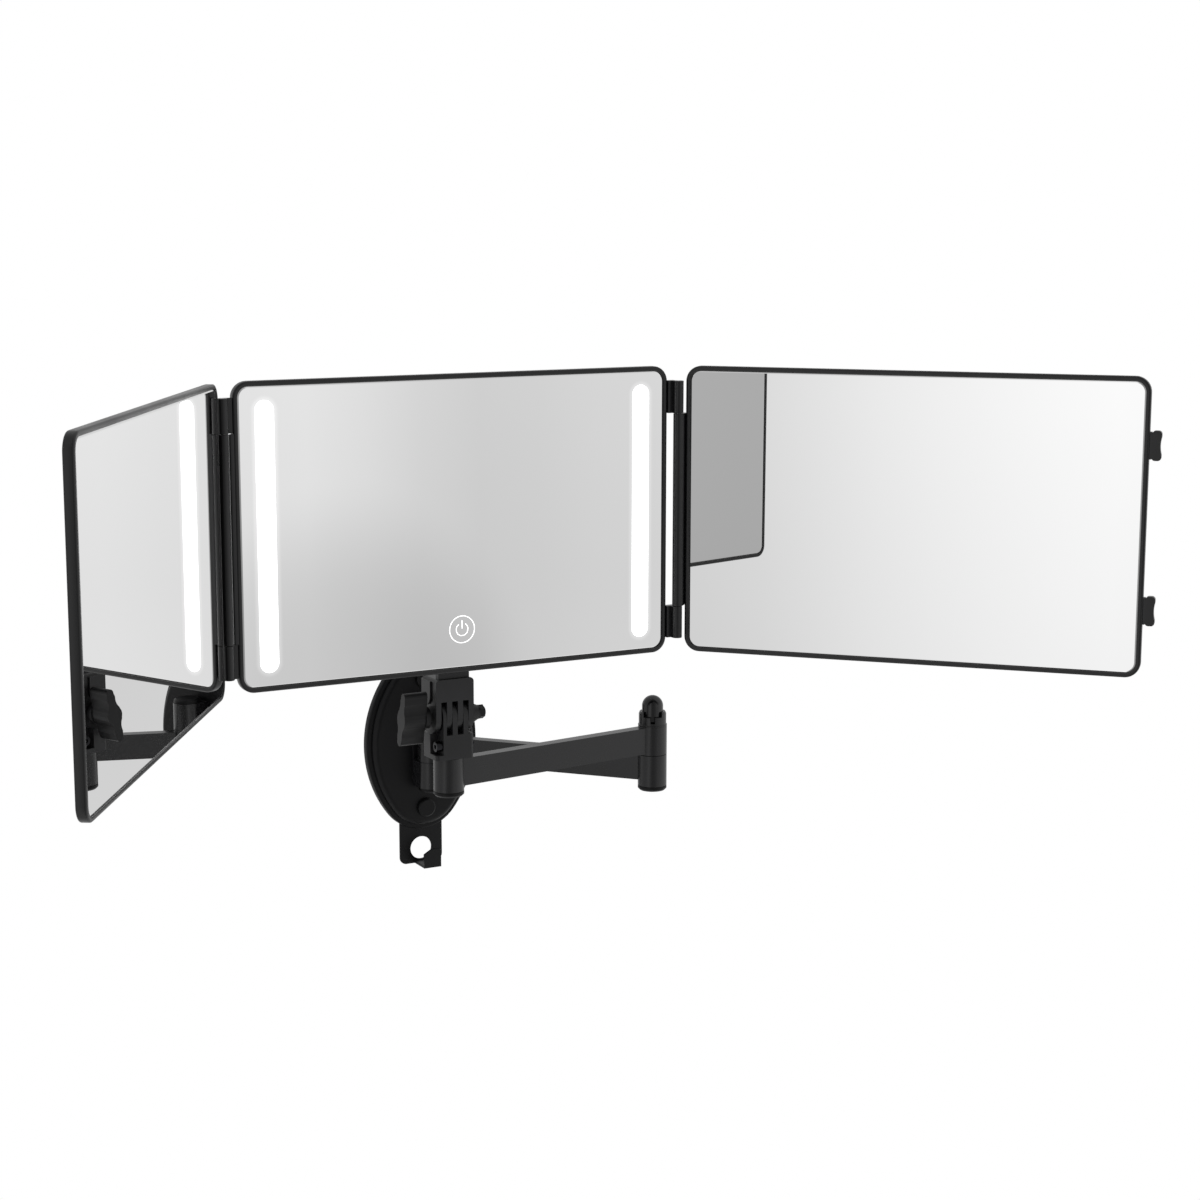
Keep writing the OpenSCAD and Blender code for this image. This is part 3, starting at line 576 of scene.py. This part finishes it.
@dataclass
class PanelShape:
    """Sizes of one mirror panel, taken from the middle frame and glass."""

    width: float
    height: float
    front: float
    back: float
    glass_width: float
    glass_height: float
    glass_back: float
    corner: float = 12.0 * MM
    edge: float = 1.4 * MM
    lip: float = 0.35 * MM
    chamfer: float = 1.1 * MM
    chamfer_drop: float = 0.42 * MM
    seam: float = 0.15 * MM
    edge_steps: int = 5
    lip_break: float = 0.3

    @classmethod
    def from_frame(cls) -> "PanelShape":
        """Reads the panel's sizes from the middle panel's nodes."""
        frame_low, frame_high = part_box("center_frame")
        glass_low, glass_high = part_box("center_glass")
        face = glass_low.y
        return cls(
            width=frame_high.x - frame_low.x, height=frame_high.z - frame_low.z,
            front=frame_low.y - face, back=frame_high.y - face,
            glass_width=glass_high.x - glass_low.x, glass_height=glass_high.z - glass_low.z,
            glass_back=glass_high.y - face,
        )

    @property
    def rim(self) -> float:
        """Width of the rim round the glass."""
        return (self.width - self.glass_width) / 2

    def ring(self, inset: float) -> list[Point2]:
        """The panel's outline, drawn in by inset."""
        return rounded_outline(self.width - 2 * inset, self.height - 2 * inset, self.corner - inset)

    def frame_mesh(self) -> bmesh.types.BMesh:
        """Builds the frame: a rim with rounded outer edges and a small lip beside the glass."""
        mesh = bmesh.new()
        arc = [math.pi / 2 * i / self.edge_steps for i in range(self.edge_steps + 1)]
        rise = [self.edge * (1 - math.cos(a)) for a in arc]
        run = [self.edge * (1 - math.sin(a)) for a in arc]
        nick = self.lip * self.lip_break
        # Pairs of an inset from the outer side and a depth, round the rim's section
        section = [(inset, self.front + drop) for inset, drop in zip(rise, run)]
        section += [(self.rim - self.lip, self.front), (self.rim - nick, self.front + nick)]
        section += [(self.rim, self.front + self.lip), (self.rim, self.glass_back)]
        section += [(self.rim, self.back - self.lip), (self.rim - self.lip, self.back)]
        section += [(inset, self.back - drop) for inset, drop in zip(run, rise)]
        loops = [add_loop(mesh, self.ring(inset), depth) for inset, depth in section]
        for i, loop in enumerate(loops):
            bridge(mesh, loop, loops[(i + 1) % len(loops)])
        return mesh

    def glass_mesh(self) -> bmesh.types.BMesh:
        """Builds the glass: a flat plate whose front edge is ground to a narrow chamfer."""
        mesh = bmesh.new()
        section = [
            (self.rim + self.seam, self.glass_back), (self.rim + self.seam, self.chamfer_drop),
            (self.rim + self.seam + self.chamfer, 0.0),
        ]
        loops = [add_loop(mesh, self.ring(inset), depth) for inset, depth in section]
        for first, second in zip(loops, loops[1:]):
            bridge(mesh, first, second)
        mesh.faces.new(loops[0])
        mesh.faces.new(loops[-1])
        return mesh


@dataclass
class MirrorPanel:
    """One panel in its place: its frame and glass as seen from the front."""

    side: str
    body: str
    place: Matrix
    shape: PanelShape
    shelf: MaterialShelf
    glow: PaintedStripGlow | None = None
    lean: tuple[float, float] | None = None

    def lean_turn(self) -> Euler | None:
        """Turns the lean, in degrees about Z and about the panel's own X axis, into one rotation."""
        if self.lean is None:
            return None
        about_z, about_x = [math.radians(angle) for angle in self.lean]
        across = self.place.to_3x3() @ Vector((1.0, 0.0, 0.0))
        return (Matrix.Rotation(about_x, 3, across) @ Matrix.Rotation(about_z, 3, "Z")).to_euler()

    def put(
        self, mesh: bmesh.types.BMesh, name: str, material: bpy.types.Material, smooth_below: float,
    ) -> bpy.types.Object:
        """Moves a mesh from the panel's own axes to its place and makes it an object."""
        mesh.transform(self.place)
        return mesh_object(name, mesh, material, smooth_below)

    def build(self) -> None:
        """Makes the frame and the glass."""
        black = self.shelf.get(Surface.FRAME_ABS)
        frame = self.put(self.shape.frame_mesh(), f"{self.side}_rim", black, CRISP)
        settle(frame, self.body, "frame_black", f"{self.side}_frame")
        if self.glow is None and self.lean is None:
            silver = self.shelf.get(Surface.MIRROR)
        else:
            silver = FINISHES[Surface.MIRROR].material(self.glow, self.lean_turn())
        glass = self.put(self.shape.glass_mesh(), f"{self.side}_mirror", silver, GLASS_CRISP)
        settle(glass, self.body, "mirror_glass", f"{self.side}_glass")


@dataclass
class LightWindows:
    """The two etched windows in the middle glass, lit by the boards behind them."""

    shelf: MaterialShelf
    proud: float = 0.12 * MM
    width: float = 14.5 * MM
    flange: float = 2.0 * MM
    inset: float = 13.0 * MM
    skin_edge: float = 0.35 * MM
    end_slack: float = 0.01 * MM
    end_steps: int = 14
    # Reach and peak of the painted halo, an emission in the glass round each window
    painted_halo_reach: float = 4.5 * MM
    painted_halo_peak: float = 0.10

    @property
    def length(self) -> float:
        """Length of each window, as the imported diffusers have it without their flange."""
        low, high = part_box("led_diffusers")
        return high.z - low.z - self.flange

    @property
    def centres(self) -> tuple[float, float]:
        """The two windows' middles in X."""
        low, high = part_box("center_glass")
        reach = self.inset + self.width / 2
        return (low.x + reach, high.x - reach)

    def glow(self) -> PaintedStripGlow:
        """Works out where the windows lie and how far the painted halo round them spreads in the glass."""
        return PaintedStripGlow(
            centres_x=self.centres, centre_z=glass_face_centre().z, half_width=self.width / 2,
            half_length=self.length / 2, reach=self.painted_halo_reach, peak=self.painted_halo_peak,
        )

    def build(self) -> None:
        """Makes both windows as one raised skin on the glass."""
        low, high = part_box("center_glass")
        middle = (low.z + high.z) / 2
        levels = [
            (0.0, low.y), (0.0, low.y - self.proud * 0.5), (self.skin_edge, low.y - self.proud),
        ]
        mesh = bmesh.new()
        for centre in self.centres:
            loops = []
            for inset, depth in levels:
                outline = rounded_outline(
                    self.width - 2 * inset, self.length - 2 * inset,
                    self.width / 2 - inset - self.end_slack, self.end_steps,
                )
                loops.append(add_loop(mesh, [(x + centre, z + middle) for x, z in outline], depth))
            for first, second in zip(loops, loops[1:]):
                bridge(mesh, first, second)
            mesh.faces.new(loops[0])
            mesh.faces.new(loops[-1])
        windows = mesh_object("light_windows", mesh, self.shelf.get(Surface.OPAL))
        settle(windows, "mirror_head", "opal_white", "led_diffusers")


@dataclass
class PowerMark:
    """The touch mark etched in the middle glass: a ring round the common power sign."""

    shelf: MaterialShelf
    proud: float = 0.1 * MM
    ring_radius: float = 10.4 * MM
    sign_radius: float = 4.9 * MM
    stroke: float = 0.55 * MM
    gap_degrees: float = 34.0
    bar_top: float = 7.0 * MM
    bar_foot: float = 0.6 * MM
    height: float = 29.7 * MM
    taper: float = 0.02
    ring_steps: int = 72
    sign_steps: int = 40

    def raised(self, side: Point2, middle: Point2, depth: float) -> Point3:
        """Finds a point of the stroke's top, drawn in from its side by the taper."""
        keep = 1 - self.taper
        x, z = (s * keep + m * self.taper for s, m in zip(side, middle))
        return (x, depth - self.proud, z)

    def ribbon(
        self, mesh: bmesh.types.BMesh, path: Sequence[Point2], depth: float, closed: bool,
    ) -> None:
        """Lays a flat stroke along a path on the glass.

        Args:
            mesh: The bmesh that gets the stroke.
            path: The centre line in X and Z.
            depth: The glass face's Y.
            closed: Whether the stroke closes on itself.
        """
        count = len(path)
        rows = []
        for i, (x, z) in enumerate(path):
            before = path[(i - 1) % count] if closed or i else path[0]
            after = path[(i + 1) % count] if closed or i < count - 1 else path[-1]
            along = Vector((after[0] - before[0], after[1] - before[1])).normalized()
            across = Vector((-along.y, along.x)) * self.stroke / 2
            inner, outer = (x - across.x, z - across.y), (x + across.x, z + across.y)
            rows.append([
                mesh.verts.new((inner[0], depth, inner[1])),
                mesh.verts.new(self.raised(inner, (x, z), depth)),
                mesh.verts.new(self.raised(outer, (x, z), depth)),
                mesh.verts.new((outer[0], depth, outer[1])),
            ])
        pairs = list(zip(rows, rows[1:] + rows[:1])) if closed else list(zip(rows, rows[1:]))
        for first, second in pairs:
            for k in range(4):
                n = (k + 1) % 4
                mesh.faces.new((first[k], first[n], second[n], second[k]))
        if not closed:
            mesh.faces.new(rows[0])
            mesh.faces.new(rows[-1])

    def build(self) -> None:
        """Makes the ring, the open circle and its bar."""
        low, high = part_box("center_glass")
        centre_x, centre_z = (low.x + high.x) / 2, low.z + self.height

        def on_circle(radius: float, angles: Iterable[float]) -> list[Point2]:
            """Points at the given angles round the mark's centre."""
            return [(centre_x + radius * math.cos(a), centre_z + radius * math.sin(a)) for a in angles]

        mesh = bmesh.new()
        full = [math.tau * i / self.ring_steps for i in range(self.ring_steps)]
        self.ribbon(mesh, on_circle(self.ring_radius, full), low.y, True)
        start = math.radians(90 + self.gap_degrees)
        sweep = math.radians(360 - 2 * self.gap_degrees)
        arc = [start + sweep * i / self.sign_steps for i in range(self.sign_steps + 1)]
        self.ribbon(mesh, on_circle(self.sign_radius, arc), low.y, False)
        bar = [(centre_x, centre_z + self.bar_foot), (centre_x, centre_z + self.bar_top)]
        self.ribbon(mesh, bar, low.y, False)
        mark = mesh_object("power_mark", mesh, self.shelf.get(Surface.ETCHED_MARK))
        settle(mark, "mirror_head", "opal_white")


@dataclass
class HingeLeaf:
    """The middle frame's leaf beside the left hinge barrel, which closes the slit between them.

    The leaf is a slim strip with a rounded outer edge that stands off the frame's side and stops
    just short of the barrel, so the barrel turns freely beside it.
    """

    shelf: MaterialShelf
    joint: dict
    barrel_radius: float = 4.0 * MM
    clearance: float = 0.35 * MM
    thickness: float = 2.4 * MM
    end_inset: float = 0.1 * MM
    nose_steps: int = 8

    def build(self) -> None:
        """Makes the strip between the two fixed knuckles."""
        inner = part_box("center_frame")[0].x
        barrel_low, barrel_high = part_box("left_hinge_barrel")
        axis_x, axis_y, _ = self.joint["pos_m"]
        outer = axis_x + (self.barrel_radius + self.clearance)
        half = self.thickness / 2
        low_z, high_z = barrel_low.z + self.end_inset, barrel_high.z - self.end_inset
        mesh = bmesh.new()
        angles = [math.pi * (i / self.nose_steps - 0.5) for i in range(self.nose_steps + 1)]
        nose = [(outer + half * (1 - math.cos(a)), axis_y + half * math.sin(a)) for a in angles]
        outline = [(inner, axis_y - half)] + nose + [(inner, axis_y + half)]
        loops = [[mesh.verts.new((x, y, z)) for x, y in outline] for z in (low_z, high_z)]
        bridge(mesh, loops[0], loops[1])
        mesh.faces.new(loops[0])
        mesh.faces.new(loops[1])
        leaf = mesh_object("left_hinge_leaf", mesh, self.shelf.get(Surface.FRAME_ABS))
        settle(leaf, "mirror_head", "frame_black")


@dataclass(frozen=True)
class Dress:
    """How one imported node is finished: its surface and the width broken on its edges."""

    surface: Surface
    edge_mm: float


DRESSES = {
    "wall_plate": Dress(Surface.HOUSING_ABS, 0.3),
    "wall_cover": Dress(Surface.HOUSING_ABS, 0.3),
    "screw_caps": Dress(Surface.HOUSING_ABS, 0.4),
    "pivot_caps": Dress(Surface.HOUSING_ABS, 0.3),
    "elbow_end_cap": Dress(Surface.HOUSING_ABS, 0.3),
    "swivel_end_cap": Dress(Surface.HOUSING_ABS, 0.3),
    "hook_bracket": Dress(Surface.SHEET_COAT, 0.35),
    "bracket_plate": Dress(Surface.SHEET_COAT, 0.4),
    "tilt_nut": Dress(Surface.SHEET_COAT, 0.25),
    "pivot_bracket": Dress(Surface.ARM_COAT, 0.5),
    "rear_arm": Dress(Surface.ARM_COAT, 0.6),
    "front_arm": Dress(Surface.ARM_COAT, 0.6),
    "elbow_collar": Dress(Surface.ARM_COAT, 0.3),
    "swivel_block": Dress(Surface.CAST_COAT, 0.5),
    "tilt_block": Dress(Surface.CAST_COAT, 0.5),
    "tilt_knob": Dress(Surface.KNOB_NYLON, 0.8),
    "dome_cap": Dress(Surface.DOME_PVC, 0.3),
    "center_back": Dress(Surface.HOUSING_ABS, 0.3),
    "left_back": Dress(Surface.HOUSING_ABS, 0.3),
    "right_back": Dress(Surface.HOUSING_ABS, 0.3),
    "left_hinge_knuckles": Dress(Surface.FRAME_ABS, 0.3),
    "right_hinge_knuckles": Dress(Surface.FRAME_ABS, 0.3),
    "left_hinge_barrel": Dress(Surface.FRAME_ABS, 0.3),
    "right_hinge_barrel": Dress(Surface.FRAME_ABS, 0.3),
    "snap_clips": Dress(Surface.FRAME_ABS, 0.5),
    "wall_screws": Dress(Surface.ZINC, 0.15),
    "wall_pivot_pin": Dress(Surface.ZINC, 0.2),
    "elbow_pin": Dress(Surface.ZINC, 0.2),
    "swivel_post": Dress(Surface.ZINC, 0.2),
    "clamp_screw": Dress(Surface.BLACK_OXIDE, 0.15),
    "bracket_screws": Dress(Surface.ZINC, 0.15),
    "neck_screws": Dress(Surface.ZINC, 0.15),
    "tilt_bolt": Dress(Surface.ZINC, 0.2),
    "left_hinge_pin": Dress(Surface.ZINC, 0.2),
    "right_hinge_pin": Dress(Surface.ZINC, 0.2),
    "charge_socket": Dress(Surface.ZINC, 0.1),
    "led_boards": Dress(Surface.BOARD, 0.0),
    "control_board": Dress(Surface.BOARD, 0.0),
    "battery_pack": Dress(Surface.SLEEVE, 0.4),
    "touch_pad": Dress(Surface.COPPER, 0.0),
}


@dataclass
class PackedParts:
    """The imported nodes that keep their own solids: each gets its finish and broken edges."""

    nodes: dict
    shelf: MaterialShelf
    weld: float = 0.002 * MM
    sharp: float = math.radians(30)
    edge_segments: int = 3
    face_weight: int = 100

    def dress(self, name: str, dress: Dress) -> None:
        """Gives one node its material, then welds, bevels and smooths it with modifiers."""
        piece = self.nodes[name]
        piece.data.materials.clear()
        piece.data.materials.append(self.shelf.get(dress.surface))
        weld = piece.modifiers.new("weld", "WELD")
        weld.merge_threshold = self.weld
        if dress.edge_mm > 0:
            bevel = piece.modifiers.new("edges", "BEVEL")
            bevel.width = dress.edge_mm * MM
            bevel.segments = self.edge_segments
            bevel.limit_method = "ANGLE"
            bevel.angle_limit = self.sharp
            bevel.use_clamp_overlap = True
        # Broad faces stay flat beside their rounded edges
        flatten = piece.modifiers.new("flat_faces", "WEIGHTED_NORMAL")
        flatten.mode = "FACE_AREA"
        flatten.weight = self.face_weight
        flatten.keep_sharp = True
        for polygon in piece.data.polygons:
            polygon.use_smooth = True
        LOG.info("%s dressed as %s", name, dress.surface.value)

    def build(self) -> None:
        """Dresses every node in the list."""
        for name, dress in DRESSES.items():
            self.dress(name, dress)


@dataclass(frozen=True)
class Lamp:
    """A square lamp: its place and its side in metres, and its power in watts."""

    name: str
    place: Point3
    size: float
    power: float


@dataclass
class Studio:
    """Floor, world, lamps and camera."""

    floor_drop: float = 0.9
    floor_reach: float = 30.0
    far_clip: float = 60.0
    lamps: tuple[Lamp, ...] = (
        Lamp("key_lamp", (-1.3, -1.5, 1.9), 1.1, 22.0),
        Lamp("side_lamp", (1.6, -0.6, 1.3), 0.9, 12.0),
        Lamp("back_lamp", (0.2, 1.5, 1.6), 1.2, 45.0),
    )
    lamp_aim: Point3 = (-0.06, -0.15, 0.1)
    # The world's level for matt surfaces, which see neither the room nor the white backdrop
    plain_level: float = 0.62
    # Where the camera stands from the middle of the middle glass, and its turn in degrees
    camera_offset: Point3 = (-0.7419, -1.6027, 0.2428)
    camera_yaw: float = -28.254
    camera_pitch: float = 80.318
    camera_roll: float = 0.086
    focal_px: float = 2349.3
    image_px: float = 1200.0
    sensor_mm: float = 36.0
    # What the room gives back, by compass angle from the viewer's side (-Y is 0, +X is 90):
    # a pale wall, with a dark stretch behind the viewer and a grey one further right
    surround: tuple[Point2, ...] = (
        (-180.0, 0.80), (-90.0, 0.62), (-78.0, 0.68), (-69.0, 0.755), (-67.2, 0.804), (-66.1, 0.855),
        (-65.0, 0.903), (-63.8, 0.95), (-61.2, 1.025), (-58.9, 1.07), (-52.0, 1.0), (-44.0, 0.55),
        (-30.0, 0.28), (-12.0, 0.36), (0.0, 0.49), (5.5, 0.505), (11.0, 0.70), (20.7, 0.89),
        (21.9, 0.862), (23.1, 0.792), (24.4, 0.726), (25.6, 0.705), (26.8, 0.725), (28.0, 0.752),
        (31.0, 0.78), (46.1, 0.93), (47.8, 0.975), (60.0, 1.0), (110.0, 0.85), (132.0, 0.735),
        (180.0, 0.80),
    )
    # The same by height: white low down over the floor, and greyer towards the ceiling
    height_levels: tuple[Point2, ...] = (
        (-1.0, 1.04), (-0.45, 1.04), (-0.30, 0.95), (-0.16, 0.925), (-0.05, 1.0), (0.06, 1.0),
        (0.40, 0.80), (1.0, 0.86),
    )
    # The grey stretch deepens low down: its compass angle, its height and its reach in both
    shade_spot: tuple[float, float, float, float] = (22.0, -0.215, 5.0, 0.10)
    shade_level: float = 0.78

    @staticmethod
    def level_ramp(
        tree: bpy.types.NodeTree, value: bpy.types.NodeSocket, reach: float, levels: Sequence[Point2],
    ) -> bpy.types.NodeSocket:
        """Adds a ramp of grey levels along a value.

        Args:
            tree: The world's node tree.
            value: The socket to read, which runs from -reach to reach.
            reach: The value's largest size.
            levels: Pairs of a value and its grey level, in rising order.

        Returns:
            The ramp's colour socket.
        """
        spread = add_node(
            tree, "ShaderNodeMapRange", {}, {"Value": value, "From Min": -reach, "From Max": reach},
        )
        ramp = add_node(tree, "ShaderNodeValToRGB", {}, {"Fac": spread.outputs["Result"]})
        stops = ramp.color_ramp.elements
        while len(stops) < len(levels):
            stops.new(0.5)
        for stop, (place, level) in zip(stops, levels):
            stop.position = (place + reach) / (2 * reach)
            stop.color = grey(level)
        return ramp.outputs["Color"]

    def shade(
        self, tree: bpy.types.NodeTree, compass: bpy.types.NodeSocket, rise: bpy.types.NodeSocket,
    ) -> bpy.types.NodeSocket:
        """Adds the soft darker spot, whose level is 1 outside it.

        Args:
            tree: The world's node tree.
            compass: The ray's compass angle in radians.
            rise: The ray's height, from -1 to 1.

        Returns:
            The socket with the spot's level.
        """
        angle, height, reach_angle, reach_height = self.shade_spot
        aside = maths(tree, "SUBTRACT", compass, math.radians(angle))
        across = maths(tree, "DIVIDE", aside, math.radians(reach_angle))
        up = maths(tree, "DIVIDE", maths(tree, "SUBTRACT", rise, height), reach_height)
        across_square = maths(tree, "MULTIPLY", across, across)
        apart = maths(tree, "ADD", across_square, maths(tree, "MULTIPLY", up, up))
        spot = add_node(
            tree, "ShaderNodeMapRange", {"interpolation_type": "SMOOTHSTEP"},
            {"Value": apart, "From Min": 0.0, "From Max": 1.0, "To Min": self.shade_level,
             "To Max": 1.0},
        )
        return spot.outputs["Result"]

    def world(self) -> None:
        """Lights the scene evenly, and gives the mirrors a pale room to reflect."""
        world = bpy.data.worlds.new("pale_studio")
        bpy.context.scene.world = world
        world.use_nodes = True
        tree = world.node_tree
        tree.nodes.clear()
        direction = add_node(tree, "ShaderNodeTexCoord").outputs["Generated"]
        axes = add_node(tree, "ShaderNodeSeparateXYZ", {}, {"Vector": direction})
        towards = maths(tree, "MULTIPLY", axes.outputs["Y"], -1.0)
        compass = maths(tree, "ARCTAN2", axes.outputs["X"], towards)
        ring = [(math.radians(angle), level) for angle, level in self.surround]
        around = self.level_ramp(tree, compass, math.pi, ring)
        fall = self.level_ramp(tree, axes.outputs["Z"], 1.0, self.height_levels)
        dimmed = maths(tree, "MULTIPLY", fall, self.shade(tree, compass, axes.outputs["Z"]))
        room = add_node(
            tree, "ShaderNodeMix", {"data_type": "RGBA", "blend_type": "MULTIPLY"},
            {"Factor": 1.0, "A": around, "B": dimmed},
        )
        rays = add_node(tree, "ShaderNodeLightPath")
        lit = add_node(
            tree, "ShaderNodeMix", {"data_type": "RGBA"},
            {"Factor": rays.outputs["Is Glossy Ray"], "A": grey(self.plain_level),
             "B": room.outputs["Result"]},
        )
        seen = maths(
            tree, "MAXIMUM", rays.outputs["Is Camera Ray"], rays.outputs["Is Transmission Ray"],
        )
        colour = add_node(
            tree, "ShaderNodeMix", {"data_type": "RGBA"},
            {"Factor": seen, "A": lit.outputs["Result"], "B": WHITE},
        )
        glow = add_node(
            tree, "ShaderNodeBackground", {}, {"Color": colour.outputs["Result"], "Strength": 1.0},
        )
        add_node(tree, "ShaderNodeOutputWorld", {}, {"Surface": glow.outputs["Background"]})

    def floor(self) -> None:
        """Lays the pale floor, white where the camera looks at it straight."""
        mesh = bmesh.new()
        bmesh.ops.create_grid(mesh, x_segments=2, y_segments=2, size=self.floor_reach)
        material, tree = new_material("pale_floor")
        place = add_node(tree, "ShaderNodeTexCoord").outputs["Object"]
        grain = add_node(tree, "ShaderNodeTexNoise", {}, {"Vector": place, "Scale": 2.0})
        tone = add_node(
            tree, "ShaderNodeMix", {"data_type": "RGBA"},
            {"Factor": grain.outputs["Fac"], "A": linear("#fafafa"), "B": linear("#ffffff")},
        )
        matt = add_node(tree, "ShaderNodeBsdfDiffuse", {}, {"Color": tone.outputs["Result"]})
        white = add_node(tree, "ShaderNodeEmission", {}, {"Color": WHITE, "Strength": 1.0})
        rays = add_node(tree, "ShaderNodeLightPath")
        mixed = add_node(
            tree, "ShaderNodeMixShader", {},
            {"Fac": rays.outputs["Is Camera Ray"], 1: matt.outputs["BSDF"], 2: white.outputs["Emission"]},
        )
        add_node(tree, "ShaderNodeOutputMaterial", {}, {"Surface": mixed.outputs["Shader"]})
        floor = mesh_object("floor", mesh, material)
        floor.location = (0.0, 0.0, -self.floor_drop)
        # The mirrors reflect the pale room alone, as they do in the photograph's studio
        floor.visible_glossy = False

    def hang(self, lamp: Lamp) -> None:
        """Hangs one lamp that faces the mirror head."""
        data = bpy.data.lights.new(lamp.name, "AREA")
        data.shape = "SQUARE"
        data.size = lamp.size
        data.energy = lamp.power
        light = bpy.data.objects.new(lamp.name, data)
        light.location = lamp.place
        aim = Vector(self.lamp_aim) - Vector(lamp.place)
        light.rotation_euler = aim.to_track_quat("-Z", "Y").to_euler()
        # A soft wash alone: the gloss on the mirror comes from the pale room
        light.visible_glossy = False
        bpy.context.scene.collection.objects.link(light)

    def camera(self) -> None:
        """Places the camera at the photograph's viewing angle, measured from the middle glass."""
        data = bpy.data.cameras.new("photo_camera")
        data.sensor_width = self.sensor_mm
        data.lens = self.sensor_mm * self.focal_px / self.image_px
        data.clip_end = self.far_clip
        camera = bpy.data.objects.new("photo_camera", data)
        camera.location = glass_face_centre() + Vector(self.camera_offset)
        turn = Matrix.Rotation(math.radians(self.camera_yaw), 3, "Z")
        turn @= Matrix.Rotation(math.radians(self.camera_pitch), 3, "X")
        turn @= Matrix.Rotation(math.radians(self.camera_roll), 3, "Z")
        camera.rotation_euler = turn.to_euler()
        bpy.context.scene.collection.objects.link(camera)
        bpy.context.scene.camera = camera

    def build(self) -> None:
        """Makes the whole studio."""
        bpy.context.scene.view_settings.view_transform = "Standard"
        self.world()
        self.floor()
        for lamp in self.lamps:
            self.hang(lamp)
        self.camera()


@dataclass(frozen=True)
class HingeSeat:
    """How a side panel hangs on its hinge, with -1 as the left side and 1 as the right.

    The edge gap runs from the axis to the frame's near edge, and the sink from the axis to the
    glass face while the panel is flat.
    """

    side: int
    edge_gap: float
    sink: float

    def place(self, joint: dict, shape: PanelShape) -> Matrix:
        """Works out where the panel lies from its hinge joint.

        Args:
            joint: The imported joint, whose lower limit is the flat panel.
            shape: The panel's sizes.

        Returns:
            The matrix from the panel's own axes to its place.
        """
        fold = -math.radians(joint["range_deg"][0])
        hinge = Matrix.Translation(Vector(joint["pos_m"]))
        turn = Matrix.Rotation(-self.side * fold, 4, "Z")
        across = self.side * (self.edge_gap + shape.width / 2)
        return hinge @ turn @ Matrix.Translation(Vector((across, self.sink, 0.0)))


LEFT_SEAT = HingeSeat(-1, 7.0 * MM, 1.8 * MM)
RIGHT_SEAT = HingeSeat(1, 4.5 * MM, 5.6 * MM)


def main() -> None:
    """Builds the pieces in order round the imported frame."""
    logging.basicConfig(level=logging.INFO, format="%(message)s")
    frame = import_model()
    shelf = MaterialShelf()
    joints = {joint["name"]: joint for joint in frame["joints"]}
    shape = PanelShape.from_frame()
    windows = LightWindows(shelf)
    middle = Matrix.Translation(glass_face_centre())
    MirrorPanel("center", "mirror_head", middle, shape, shelf, windows.glow()).build()
    left = LEFT_SEAT.place(joints["left_fold"], shape)
    MirrorPanel("left", "left_panel", left, shape, shelf).build()
    right = RIGHT_SEAT.place(joints["right_fold"], shape)
    MirrorPanel("right", "right_panel", right, shape, shelf, lean=RIGHT_LEAN).build()
    HingeLeaf(shelf, joints["left_fold"]).build()
    windows.build()
    PowerMark(shelf).build()
    PackedParts(frame["nodes"], shelf).build()
    Studio().build()


if __name__ == "__main__":
    main()
